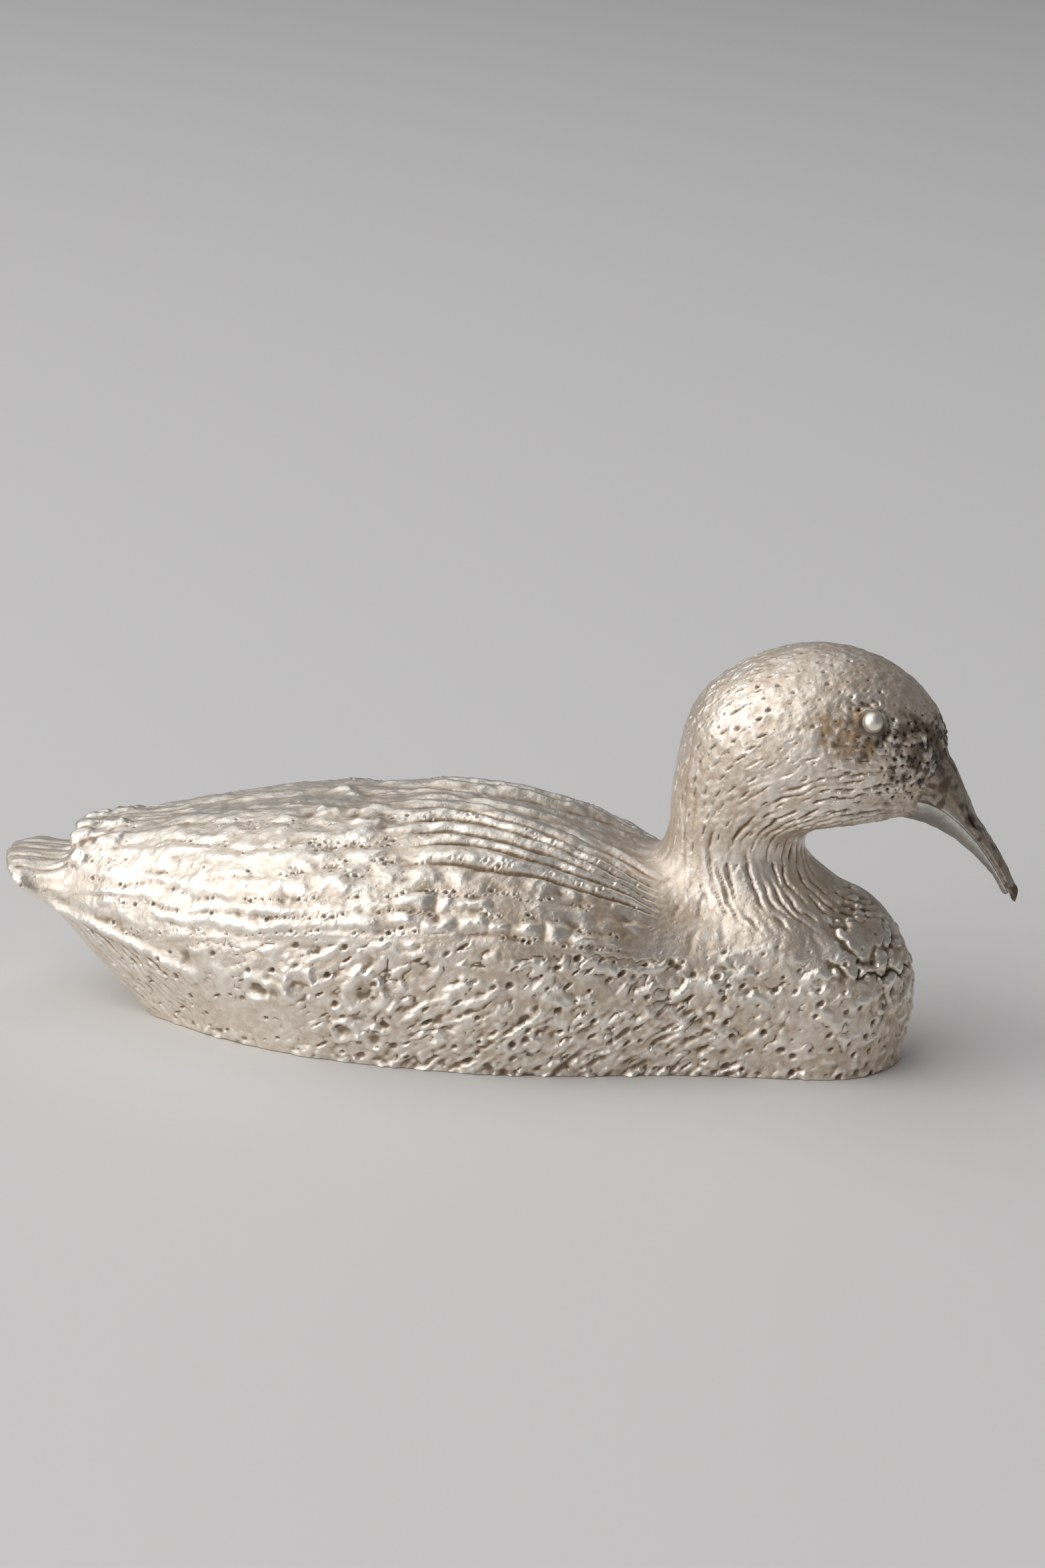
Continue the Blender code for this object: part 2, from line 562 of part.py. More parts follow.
def bill(duck):
    """Upper and lower halves of the bill."""
    finish(make_object("upper_bill", bill_form(True, 0.0), duck), SILVER, 0.34)
    finish(make_object("lower_bill", bill_form(False, 0.0), duck), PALE_SILVER, 0.36)


def eye_place(side):
    """Frame of an eye: its local Z points out of the head."""
    x = FRONT_X - EYE_SETBACK
    back, front, half = neck_slice(EYE_HEIGHT)
    along = (2 * x - back - front) / (front - back)
    y = half * (1 - abs(along) ** HEAD_POWER) ** (1 / HEAD_POWER) * (1 - FACE_TAPER * along)
    out = Vector((EYE_FACING[0], side * EYE_FACING[1], EYE_FACING[2])).normalized()
    turn = out.to_track_quat("Z", "Y").to_matrix().to_4x4()
    return Matrix.Translation(Vector((x, side * y, EYE_HEIGHT)) - out * EYE_SINK) @ turn


def eye_form(margin):
    """Bead with its stem, or with a margin the socket that takes it."""
    radius, stem = EYE_DIAMETER / 2 + margin, EYE_STEM / 2 + margin
    profile = [(stem, -EYE_STEM_LENGTH - margin)]
    for k in range(1, 9):
        turn = -pi / 2 + pi * k / 8.6
        profile.append((max(radius * cos(turn), stem), radius * sin(turn)))
    sides = 16
    return loft([[(r * cos(2 * pi * j / sides), r * sin(2 * pi * j / sides), z) for j in range(sides)]
                 for r, z in profile])


def eyes(duck):
    """Right and left eye beads."""
    for name, side in (("right_eye", -1), ("left_eye", 1)):
        eye = make_object(name, eye_form(0.0), duck)
        eye.matrix_world = eye_place(side)
        finish(eye, PALE_SILVER, 0.2)


def neck_bore():
    """Round core hole from the hollow of the breast up the neck."""
    sides, middle = 20, NECK_X + NECK_BORE_SETBACK
    turns = [2 * pi * j / sides for j in range(sides)]
    return loft([[(middle + NECK_BORE / 2 * cos(turn), NECK_BORE / 2 * sin(turn), z) for turn in turns]
                 for z in (SEAM_HEIGHT - WALL, NECK_BORE_TOP)])


def head_and_neck(duck):
    """Casting of breast front, neck and head, with sockets for the bill and the eyes."""
    head = upper_half("head_and_neck", duck)
    combine(head, make_object("neck_loft", neck_form()), "UNION")
    combine(head, make_object("neck_end", shoulder_block(CLEARANCE / 2, False)), "DIFFERENCE")
    combine(head, make_object("neck_foot", below(SEAM_HEIGHT + CLEARANCE / 2)), "DIFFERENCE")
    hollow(head)
    combine(head, make_object("neck_bore", neck_bore()), "DIFFERENCE")
    for upper in (True, False):
        combine(head, make_object("bill_socket", bill_form(upper, CLEARANCE)), "DIFFERENCE")
    for side in (-1, 1):
        socket = make_object("eye_socket", eye_form(CLEARANCE))
        socket.matrix_world = eye_place(side)
        combine(head, socket, "DIFFERENCE")
    finish(head, SILVER, 0.3)


def main():
    """Clear the scene and build the figure under one empty."""
    for obj in list(bpy.data.objects):
        bpy.data.objects.remove(obj, do_unlink=True)
    duck = bpy.data.objects.new("duck", None)
    bpy.context.scene.collection.objects.link(duck)
    lower_hull(duck)
    base_plate(duck)
    upper_back(duck)
    wings(duck)
    tail_fan(duck)
    head_and_neck(duck)
    bill(duck)
    eyes(duck)


main()
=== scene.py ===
from math import atan2, cos, pi, sin, sqrt

import bmesh
import bpy
import numpy as np
from mathutils import Matrix, Vector
from mathutils.kdtree import KDTree


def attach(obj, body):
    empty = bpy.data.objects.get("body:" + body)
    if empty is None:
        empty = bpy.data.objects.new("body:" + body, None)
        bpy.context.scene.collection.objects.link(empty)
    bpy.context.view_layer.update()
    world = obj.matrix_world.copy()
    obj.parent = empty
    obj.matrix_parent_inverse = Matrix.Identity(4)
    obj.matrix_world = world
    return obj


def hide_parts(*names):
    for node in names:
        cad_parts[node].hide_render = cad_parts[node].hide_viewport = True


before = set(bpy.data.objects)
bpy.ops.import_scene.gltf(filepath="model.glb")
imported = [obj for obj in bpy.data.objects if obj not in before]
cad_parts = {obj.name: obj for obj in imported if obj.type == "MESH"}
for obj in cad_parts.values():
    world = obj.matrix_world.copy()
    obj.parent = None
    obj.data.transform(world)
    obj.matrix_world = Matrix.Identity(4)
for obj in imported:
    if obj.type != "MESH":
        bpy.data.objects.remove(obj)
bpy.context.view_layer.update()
scene = bpy.context.scene
mm = 0.001  # lengths below are in millimetres unless a line says otherwise
rng = np.random.default_rng(11)
print("frame loaded:", len(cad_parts), "solids")


def smoothStep(low, high, values):
    t = np.clip((values - low) / (high - low), 0.0, 1.0)
    return t * t * (3 - 2 * t)


# smooth hump, 1 at 0 and nearly gone at twice the width
def hump(values, width):
    return np.exp(-(values / width) ** 2)


# the same random value from 0 to 1 for the same number
def scrambled(values):
    mixed = np.sin(values) * 43758.5453
    return mixed - np.floor(mixed)


noiseTurns = np.array(((127.1, 311.7, 74.7), (269.5, 183.3, 246.1), (113.5, 271.9, 124.6)))


# soft random values, mostly from -1 to 1, that change over about the given size
def noise(places, size, seed=0):
    at = places / size + seed * 17.13
    cell = np.floor(at)
    f = at - cell
    fade = f * f * f * (f * (f * 6 - 15) + 10)
    total = np.zeros(len(places))
    for corner in np.ndindex(2, 2, 2):
        weight = np.prod(np.abs(1 - np.array(corner) - fade), axis=1)
        for k, turn in enumerate(noiseTurns):
            total += (scrambled((cell + corner) @ turn) - 0.5) * (f[:, k] - corner[k]) * weight
    return total * 3.0


# smooth function through values at stations
def smoothCurve(stations, values):
    xs, ys = np.array(stations, float), np.array(values, float)
    slopes = np.gradient(ys, xs)

    def at(x):
        x = np.asarray(x, float)
        i = np.clip(np.searchsorted(xs, x) - 1, 0, len(xs) - 2)
        step = xs[i + 1] - xs[i]
        t = np.clip((x - xs[i]) / step, 0, 1)
        back = (1 - t) ** 2
        return (ys[i] * (1 + 2 * t) * back + ys[i + 1] * t * t * (3 - 2 * t)
                + step * (slopes[i] * t * back - slopes[i + 1] * t * t * (1 - t)))

    return at


# pulls each value towards the mean of its neighbours
def soften(values, edges, rounds, share=0.6):
    flat = values.reshape(len(values), -1).copy()
    a, b = edges[:, 0], edges[:, 1]
    count = np.bincount(edges.ravel(), minlength=len(flat))
    part = np.broadcast_to(np.asarray(share, float), (len(flat),))
    for _ in range(rounds):
        for k in range(flat.shape[1]):
            column = flat[:, k]
            near = np.bincount(a, column[b], len(flat)) + np.bincount(b, column[a], len(flat))
            flat[:, k] = column + part * (near / count - column)
    return flat.reshape(values.shape)


def vertexNormals(points, tris):
    corners = points[tris]
    faceNormals = np.cross(corners[:, 1] - corners[:, 0], corners[:, 2] - corners[:, 0])
    total = np.stack([np.bincount(tris.ravel(), np.repeat(faceNormals[:, k], 3), len(points))
                      for k in range(3)], axis=1)
    return total / np.maximum(np.linalg.norm(total, axis=1, keepdims=True), 1e-12)


def meshPoints(mesh):
    flat = np.empty(len(mesh.vertices) * 3)
    mesh.vertices.foreach_get("co", flat)
    return flat.reshape(-1, 3) / mm


def meshEdges(mesh):
    flat = np.empty(len(mesh.edges) * 2, np.int64)
    mesh.edges.foreach_get("vertices", flat)
    return flat.reshape(-1, 2)


def addObject(name, data):
    obj = bpy.data.objects.new(name, data)
    scene.collection.objects.link(obj)
    return obj


# the mesh with one modifier applied
def modifiedMesh(mesh, kind, settings):
    obj = addObject(mesh.name, mesh)
    modifier = obj.modifiers.new(kind.lower(), kind)
    for key, value in settings.items():
        setattr(modifier, key, value)
    graph = bpy.context.evaluated_depsgraph_get()
    result = bpy.data.meshes.new_from_object(obj.evaluated_get(graph))
    bpy.data.objects.remove(obj)
    return result


# the cast skin: all the body's solids melted into one surface
cast = {
    "voxel": 0.45,            # halved by the subdivision
    "swell": 0.42,            # closes the seats between the solids
    "soleDrop": 3.0,          # pulled down below the floor and cut off again, for a crisp edge
    "softening": 14,
    "wingSoftening": 70,      # where the solids carry feathers of their own
    "sideSoftening": 150,     # where the side runs into the tail
    "neckSoftening": 170,     # the hollow where the neck rises out of the back
    "softShare": 0.6,         # how far one round moves a point
    "shrink": 0.34,           # takes back the swell that the softening leaves
    "billRoot": (49.0, 0.0, 33.9),
    "billAhead": (0.953, 0.0, -0.303),
    "tailCut": -52.2,
    "seamHeight": 10.2,
    "shoulder": (18.2, 22.4, 7.0 / 12.2),  # place, height and slant of the joint behind the neck
}


# above 0 behind the joint of neck and back
def behindShoulder(places):
    x, height, slant = cast["shoulder"]
    return x + slant * (height - places[:, 2]) - places[:, 0]


# height as seen from a little above, the same on both sides
def liftOf(places):
    return 0.87 * places[:, 2] - 0.5 * np.abs(places[:, 1])


def meltedSolids():
    joined = bmesh.new()
    for name in sorted(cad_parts):
        part = bmesh.new()
        part.from_mesh(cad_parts[name].data)
        bmesh.ops.remove_doubles(part, verts=part.verts, dist=1e-6)
        if name.endswith("bill"):  # only the root stays, to close its socket
            bmesh.ops.bisect_plane(part, geom=part.verts[:] + part.edges[:] + part.faces[:],
                                   plane_co=Vector(cast["billRoot"]) * mm,
                                   plane_no=cast["billAhead"], clear_outer=True)
            bmesh.ops.holes_fill(part, edges=[e for e in part.edges if e.is_boundary])
        bmesh.ops.recalc_face_normals(part, faces=part.faces)
        part.normal_update()
        for vert in part.verts:
            vert.co += vert.normal * cast["swell"] * mm
            if vert.co.z < 0.05 * mm:
                vert.co.z -= cast["soleDrop"] * mm
        mesh = bpy.data.meshes.new(name + "Swollen")
        part.to_mesh(mesh)
        part.free()
        joined.from_mesh(mesh)
    mesh = bpy.data.meshes.new("melted")
    joined.to_mesh(mesh)
    joined.free()
    return modifiedMesh(mesh, "REMESH", {"mode": "VOXEL", "voxel_size": cast["voxel"] * mm})


# drops the inner walls of the hollow castings
def outerShell(mesh):
    shell = bmesh.new()
    shell.from_mesh(mesh)
    start = max(shell.verts, key=lambda vert: vert.co.z)
    seen, waiting = {start}, [start]
    while waiting:
        vert = waiting.pop()
        for edge in vert.link_edges:
            other = edge.other_vert(vert)
            if other not in seen:
                seen.add(other)
                waiting.append(other)
    bmesh.ops.delete(shell, geom=[v for v in shell.verts if v not in seen], context="VERTS")
    result = bpy.data.meshes.new("outerShell")
    shell.to_mesh(result)
    shell.free()
    return result


def castSkin():
    shell = outerShell(meltedSolids())
    points, edges = meshPoints(shell), meshEdges(shell)
    x, y, z = points.T
    most = cast["softShare"]
    # the rim under the tail and the edge of the sole stay crisp
    share = most * (1 - 0.8 * smoothStep(-40, -44, x) * smoothStep(15, 12, z))
    share *= 1 - 0.7 * smoothStep(0.9, 0.3, np.abs(z + 0.2))
    wing = smoothStep(-47, -42, x) * smoothStep(22, 18, x) * smoothStep(0.5, 3.0, liftOf(points))
    tailTop = 17.3 + 2.5 * smoothStep(4.5, 7.0, np.abs(y))
    side = smoothStep(-57, -54, x) * smoothStep(-45, -49, x) * smoothStep(8.5, 10, z)
    side *= smoothStep(0, -1, z - tailTop)
    neck = smoothStep(6.0, 2.5, np.abs(behindShoulder(points)))
    neck *= smoothStep(12, 15, z)
    neck *= smoothStep(33, 29, z)
    for rounds, part in (("softening", share), ("wingSoftening", most * wing),
                         ("sideSoftening", most * side), ("neckSoftening", most * neck)):
        points = soften(points, edges, cast[rounds], part)
    shell.vertices.foreach_set("co", (points * mm).ravel())
    fine = modifiedMesh(shell, "SUBSURF", {"levels": 1, "render_levels": 1})
    loops = np.empty(len(fine.loops), np.int64)
    fine.loops.foreach_get("vertex_index", loops)
    quads = loops.reshape(-1, 4)
    tris = np.concatenate([quads[:, [0, 1, 2]], quads[:, [0, 2, 3]]])
    points, edges = meshPoints(fine), meshEdges(fine)
    return points - vertexNormals(points, tris) * cast["shrink"], tris, edges


points, tris, edges = castSkin()
normals = vertexNormals(points, tris)
print("cast skin:", len(points), "points")

xs, ys, zs = points.T
sides = np.abs(ys)
lifts = liftOf(points)
tree = KDTree(len(points))
for i, point in enumerate(points):
    tree.insert(point, i)
tree.balance()

relief = np.zeros(len(points))   # how far the finished surface stands out of the skin
dirt_and_shade = np.zeros(len(points))     # 0 to 1, black tarnish and painted shade in the pits, cracks and grooves
ochre = np.zeros(len(points))    # 0 to 1, rust-yellow stain
soot_and_shade = np.zeros(len(points))     # 0 to 1, brown-black bloom, and painted shade in the winding grooves, under the brow and under the jaw


def nearby(place, radius):
    found = tree.find_range(place, radius)
    return np.array([f[1] for f in found], np.int64)


# points spread over part of the skin, no two closer than the given distance
def scatter(chance, distance):
    candidates = np.nonzero(rng.random(len(points)) < chance)[0]
    rng.shuffle(candidates)
    cells, kept = {}, []
    for i in candidates:
        place = points[i]
        cell = tuple((place // distance).astype(int))
        clear = True
        for step in np.ndindex(3, 3, 3):
            for j in cells.get(tuple(c + s - 1 for c, s in zip(cell, step)), ()):
                if np.sum((points[j] - place) ** 2) < distance * distance:
                    clear = False
        if clear:
            cells.setdefault(cell, []).append(i)
            kept.append(i)
    return kept


# a random value between two limits, mostly near the lower one
def mostlySmall(limits, power):
    low, high = limits
    return low + (high - low) * rng.random() ** power


# one punched pit, drawn out along a direction, with a thin raised lip; the inside is blackened with tarnish
# and painted shade
def punch(i, width, depth, along=None, length=None, lip=0.12, black=1.0):
    length = length or width
    found = nearby(points[i], max(width, length) * 1.7)
    away = points[found] - points[i]
    if along is None:
        d = np.linalg.norm(away, axis=1) / width
    else:
        along = along - normals[i] * (along @ normals[i])
        along = along / max(np.linalg.norm(along), 1e-9)
        run = away @ along
        rest = np.sqrt(np.maximum(np.sum(away ** 2, axis=1) - run ** 2, 0))
        d = np.hypot(run / length, rest / width)
    d = d * (1 + 0.25 * noise(points[found], 0.5, 17))
    relief[found] -= depth * smoothStep(1.0, 0.25, d)
    relief[found] += depth * lip * hump(d - 1.2, 0.25)
    dirt_and_shade[found] = np.maximum(dirt_and_shade[found], black * smoothStep(0.85, 0.2, d))


# distance of places from the line between two ends
def fromLine(places, a, b):
    span = b - a
    t = np.clip((places - a) @ span / max(span @ span, 1e-9), 0, 1)
    return np.linalg.norm(places - a - t[:, None] * span, axis=1)


# a thin jagged crack along a line of places, blackened with tarnish and painted shade
def crack(places, width, depth, jitter, black):
    line = np.array(places, float)
    dense = []
    for a, b in zip(line, line[1:]):
        steps = max(2, int(np.linalg.norm(b - a) / 0.5))
        for k in range(steps):
            dense.append(a + (b - a) * k / steps + rng.normal(0, jitter, 3))
    ends = [points[tree.find(p)[1]] for p in dense]
    before = relief.copy()
    for a, b in zip(ends, ends[1:]):
        found = nearby((a + b) / 2, np.linalg.norm(b - a) / 2 + width * 2)
        groove = hump(fromLine(points[found], a, b), width)
        relief[found] = np.minimum(relief[found], before[found] - depth * groove)
        dirt_and_shade[found] = np.maximum(dirt_and_shade[found], black * groove)


# the same random value from 0 to 1 for the same whole numbers
def drawn(*numbers):
    return scrambled(sum(n * k for n, k in zip(numbers, (12.9898, 78.233, 37.719))))


# rows of feathers along the folded wing, each row a line of heights at the stations
wing = {
    "stations": (-45, -35, -25, -15, -5, 5, 15, 22),
    "rows": ((0.9, 1.5, 1.95, 2.5, 3.05, 3.3, 4.1, 5.2),
             (6.2, 4.6, 3.8, 4.5, 5.3, 5.9, 6.0, 6.6),
             (8.3, 6.4, 5.8, 6.7, 7.9, 8.5, 7.9, 7.9),
             (10.7, 8.7, 7.9, 9.0, 10.7, 10.9, 10.1, 9.2),
             (13.4, 12.1, 11.8, 13.4, 14.9, 14.0, 12.0, 10.5),
             (16.0, 15.4, 15.3, 16.4, 18.0, 16.4, 13.4, 11.8),
             (18.3, 18.4, 19.0, 20.2, 20.8, 18.6, 15.0, 13.2),
             (19.6, 21.0, 22.2, 23.2, 23.4, 21.8, 17.4, 15.0)),
    "lobeLengths": ((-50, -30, -12, -4, 6, 20), (6.8, 6.2, 4.8, 3.7, 3.1, 2.6)),
    "lobeRise": 0.46,
    "rowRise": 0.12,
    "streakRise": 0.26,
    "swellRise": 0.34,       # uneven casting under the lobes
    "ridgeRise": 1.1,        # long feathers of the shoulder
    "ridgesPerRow": 1.6,
    "ridgeDark": 0.62,
    "dotGap": 0.68,          # punched dots between the rows
    "dotWidth": 0.23,
    "dotDepth": 0.2,
    "dotChance": 0.35,
}
rowLines = [smoothCurve(wing["stations"], row)(xs) for row in wing["rows"]]
row = np.zeros(len(points))
for low, high in zip(rowLines, rowLines[1:]):
    row += np.clip((lifts - low) / (high - low), 0, 1)
row -= np.clip((rowLines[0] - lifts) / 2.5, 0, 4)
waved = row + (0.34 * noise(points, 3.4, 2) + 0.12 * noise(points, 1.4, 5)) * smoothStep(0.0, 1.0, row)
rowNumber = np.round(waved)
rowSide = waved - rowNumber                                  # -0.5 to 0.5 across a row
behindNeck = behindShoulder(points)
feathered = smoothStep(0.15, 0.45, row) * smoothStep(-1.5, 4.5, behindNeck) * smoothStep(-51, -46, xs)
# the smooth hollow at the bend of the wing, the feathers of the shoulder and the rear of the wing
hollowPatch = np.exp(-((xs - 22.5) / 4.5) ** 2 - ((zs - 18.0) / 3.2) ** 2) * smoothStep(6, 9, sides)
scapular = smoothStep(-14, -7, xs - 1.5 * (6 - row)) * smoothStep(2.9, 3.7, row)
rearward = smoothStep(-17, -32, xs)
stretched = points / (3.2, 1.0, 1.0)


def featherRelief():
    grid = np.linspace(-60, 30, 901)
    lobes = np.cumsum(0.1 / smoothCurve(*wing["lobeLengths"])(grid))
    along = np.interp(xs, grid, lobes) + 0.37 * rowNumber + 0.5 * (rowNumber % 2)
    along += 0.35 * noise(points, 3.0, 3)
    part = along % 1.0
    size = np.clip(1.5 * drawn(np.floor(along), rowNumber, np.sign(ys)) - 0.3, 0.0, 1.0)
    shift = 0.3 * drawn(rowNumber, np.floor(along), np.sign(ys)) - 0.15
    ragged = 0.35 * noise(points, 1.6, 13) + 0.15 * noise(points, 0.8, 14)
    dome = smoothStep(1.15, 0.05, np.hypot((part - 0.45) / 0.52, (rowSide + shift) / 0.5) + ragged)
    lobe = wing["lobeRise"] * dome * size + wing["rowRise"] * np.cos(pi * rowSide) ** 2
    strands = np.abs(np.cos(pi * (waved + 0.6 * noise(stretched, 2.4, 6))))
    streak = wing["streakRise"] * strands * (0.75 + 0.6 * noise(stretched, 1.6, 7))
    fine = row * wing["ridgesPerRow"] + 0.16 * noise(stretched, 2.0, 8)
    ridge = np.abs(np.cos(pi * fine)) ** 0.8
    bead = 0.85 + 0.25 * noise(points / (1.8, 1.0, 1.0), 1.5, 9)
    swells = wing["swellRise"] * noise(points / (1.7, 1.0, 1.0), 2.2, 15)
    total = (lobe + swells) * (1 - 0.7 * rearward) + streak * rearward
    total = total * (1 - scapular) + wing["ridgeRise"] * ridge * bead * scapular
    total = (1 - hollowPatch) * total + 0.1 * noise(points, 1.3, 4) + 0.04 * noise(points, 0.6, 10)
    return feathered * total, smoothStep(0.4, 0.1, ridge) * scapular * feathered * (1 - hollowPatch)


featherPart, featherDark = featherRelief()
relief += featherPart
# the valleys between the shoulder feathers darkened with tarnish and painted shade
dirt_and_shade = np.maximum(dirt_and_shade, wing["ridgeDark"] * featherDark * smoothStep(-0.6, 0.1, noise(points, 2.0, 12)))
band = smoothStep(0.34, 0.44, np.abs(rowSide)) * (feathered > 0.6) * (row < 5.8)
band *= 1 - hollowPatch
band *= 1 - 0.8 * scapular
band *= smoothStep(-0.25, 0.15, noise(points, 3.0, 11)) * (1 - 0.7 * rearward)
for i in scatter(band * wing["dotChance"], wing["dotGap"]):
    punch(i, wing["dotWidth"] * rng.uniform(0.7, 1.4), wing["dotDepth"] * rng.uniform(0.6, 1.5),
          lip=0.6, black=rng.uniform(0.3, 0.8))
print("feathers laid")

# the punched flank and breast
flank = {
    "slant": 0.62,           # radians, up towards the breast
    "lumpRise": 0.46,
    "creaseDepth": 0.2,
    "strokeRise": 0.3,       # short ridges that climb towards the breast
    "pitGap": 1.5,
    "pitWidth": (0.18, 0.55),
    "pitDepth": (0.25, 0.55),
    "dashLength": (0.5, 1.2),
    "rings": ((-19.9, 9.1, 2.3), (-12.2, 9.4, 2.6), (-14.6, 3.6, 1.7), (-11.2, 3.4, 1.6), (-25.5, 7.6, 1.9)),
    "ringRise": 0.45,
    "breastGap": 1.55,
    "breastWidth": (0.18, 0.56),
    "wormDepth": 0.4,        # winding grooves at the top of the breast
    # each crack: its line, then width, depth, jitter and blackness
    "breastCracks": (
        (((42.6, -9.8, 13.6), (43.4, -9.0, 12.5), (44.6, -7.9, 12.9), (45.6, -6.8, 11.9), (46.6, -5.2, 12.5),
          (47.4, -3.8, 11.5), (48.0, -2.2, 12.1), (48.3, 0.0, 11.6)), 0.22, 0.4, 0.24, 0.85),
        (((43.8, 8.8, 10.6), (44.8, 7.6, 11.4), (45.7, 6.6, 10.9), (46.5, 5.4, 11.6)), 0.16, 0.3, 0.24, 0.7),
    ),
    "sideCracks": (          # on both sides
        (((-35.0, 17.3, 11.6), (-31.0, 18.6, 12.8), (-27.0, 19.8, 12.6), (-22.9, 20.7, 14.1)),
         0.09, 0.12, 0.25, 0.6),
        (((-29.0, 19.0, 13.0), (-27.2, 19.4, 10.8), (-28.6, 18.5, 8.6), (-26.2, 18.6, 6.4)),
         0.09, 0.12, 0.3, 0.6),
        (((9.0, 19.8, 15.2), (13.0, 18.4, 15.0), (17.5, 16.5, 14.4), (21.5, 14.6, 14.2)),
         0.11, 0.16, 0.2, 0.45),
    ),
    "dents": ((21.6, 14.0, 0.7), (22.5, 13.6, 0.55), (22.9, 14.3, 0.4)),  # where the wing's edge ends
}
below = smoothStep(0.15, -0.3, row)                         # under the edge of the wing
front = smoothStep(-1.5, -4.0, behindNeck + np.where(zs < 10, (zs - 10) * 0.3, 0))
flankArea = below * (1 - front) * smoothStep(-47, -42, xs)
breastArea = front * smoothStep(17.5, 12.5, zs) * smoothStep(-0.2, 0.6, zs)
slantAlong = np.array((cos(flank["slant"]), 0.0, sin(flank["slant"])))
slantAcross = np.array((-sin(flank["slant"]), 0.0, cos(flank["slant"])))
slanted = np.stack([points @ slantAlong / 2.0, ys / 1.5, points @ slantAcross], axis=1)


def flankRelief():
    worn = noise(slanted, 1.45, 21) + 0.4 * noise(points, 1.0, 22)
    crease = smoothStep(0.15, 0.0, np.abs(worn)) * smoothStep(-0.05, 0.35, noise(points, 1.8, 24))
    rough = flankArea * (0.35 + 0.65 * smoothStep(-26, -10, xs)) + 0.85 * breastArea
    lumps = flank["lumpRise"] * (0.6 * worn + 0.6 * np.minimum(np.abs(worn), 0.9) - 0.2)
    total = rough * (lumps - flank["creaseDepth"] * crease)
    climbing = slanted / (2.2, 1.0, 1.0)
    stroke = 0.6 - np.abs(noise(climbing, 1.05, 27) + 0.2 * noise(points, 0.8, 28)) * 2
    total += flank["strokeRise"] * stroke * flankArea * smoothStep(-16, -2, xs) * smoothStep(11, 6.5, zs)
    total += 0.25 * noise(points, 2.6, 23) * (flankArea + 0.6 * breastArea)
    total += (0.11 * noise(points, 1.2, 25) + 0.04 * noise(points, 0.6, 26)) * (flankArea + breastArea)
    return total, crease * rough


flankPart, flankDark = flankRelief()
relief += flankPart
# the flank's creases darkened with tarnish and painted shade
dirt_and_shade = np.maximum(dirt_and_shade, 0.6 * smoothStep(0.3, 0.9, flankDark))
for x, z, radius in flank["rings"]:
    for side in (-1, 1):
        centre = points[tree.find((x + side * 0.6, side * 21.5, z))[1]]
        found = nearby(centre, radius * 1.8)
        d = np.linalg.norm(points[found] - centre, axis=1) / radius
        d = d * (1 + 0.3 * noise(points[found], 1.5, 31))
        broken = 0.65 + 0.7 * noise(points[found], 1.4, 32)
        relief[found] += flank["ringRise"] * hump(d - 0.82, 0.26) * np.clip(broken, 0.1, 1.2)
        relief[found] -= 0.15 * smoothStep(0.6, 0.2, d)
pitArea = flankArea * smoothStep(0.4, 1.2, zs) * (0.2 + 0.8 * smoothStep(-27, -14, xs))
for i in scatter(pitArea * 0.2, flank["pitGap"]):
    if rng.random() < 0.55 + 0.5 * noise(points[i:i + 1], 4.0, 33)[0]:
        dashed = rng.random() < (0.55 if points[i][0] > -12 else 0.25)
        width = mostlySmall(flank["pitWidth"], 2)
        depth = rng.uniform(*flank["pitDepth"])
        length = rng.uniform(*flank["dashLength"]) if dashed else width * 1.2
        punch(i, width, depth, slantAlong, length, lip=0.08, black=rng.uniform(0.15, 0.7))
for i in scatter(breastArea * 0.2, flank["breastGap"]):
    if rng.random() < 0.8:
        width = mostlySmall(flank["breastWidth"], 1.5)
        depth, length = width * rng.uniform(0.7, 1.1), width * rng.uniform(1.0, 1.7)
        punch(i, width, depth, slantAlong, length, lip=0.16, black=rng.uniform(0.25, 0.75))
wormArea = smoothStep(36.5, 40.5, xs) * smoothStep(11.5, 13.5, zs) * smoothStep(21.5, 19.5, zs)
worm = np.abs(noise(points, 2.1, 41) + 0.3 * noise(points, 1.0, 42))
worm = smoothStep(0.3, 0.14, worm) * wormArea * smoothStep(-0.3, 0.1, noise(points, 3.4, 43))
relief -= flank["wormDepth"] * worm
# the winding grooves browned with tarnish and painted shade
soot_and_shade = np.maximum(soot_and_shade, 0.62 * worm)
for places, *look in flank["breastCracks"]:
    crack(places, *look)
for side in (-1, 1):
    for places, *look in flank["sideCracks"]:
        crack(np.array(places) * (1, side, 1), *look)
    for x, z, width in flank["dents"]:
        punch(tree.find((x, side * 14.6, z))[1], width, 0.3, lip=0.05, black=0.5)
print("flank and breast punched")

# grooves that sweep round the throat and down the neck, and the pitted head
head = {
    "sweepCentre": (42.0, 24.5),
    "grooveGap": 1.2,
    "grooveDepth": 0.5,
    "neckGap": 1.05,
    "neckDepth": 0.15,
    "pitGap": 1.35,
    "slitGap": 1.5,
    "eye": (42.7, 9.1, 42.7),
    "lidRadius": 1.75,
    "lidRise": 0.22,
    "brow": ((41.6, 9.0, 45.0), (44.4, 7.9, 44.6), (47.2, 6.0, 43.2), (49.3, 4.0, 41.0), (50.6, 2.6, 38.4)),
    "browDepth": 0.45,
    "crustRise": 0.17,       # rough skin before and around the eye
    "lorePitGap": 0.9,
    "stains": ((45.6, 5.6, 46.4, 1.5), (47.6, 3.4, 45.6, 1.2), (44.2, 6.6, 46.0, 0.9),
               (38.2, 9.8, 40.2, 1.3), (41.4, 9.6, 38.8, 1.6)),
}
ahead = smoothStep(1.0, -1.5, behindNeck)                   # neck, head and breast
sweepX, sweepZ = head["sweepCentre"]
sweep = np.hypot(xs - sweepX, 1.25 * (zs - sweepZ)) + 0.5 * sides
eyePlace = np.array(head["eye"])
folded = np.stack([xs, sides, zs], 1)                       # both sides laid on one another
eyeDistance = np.linalg.norm(folded - eyePlace, axis=1)


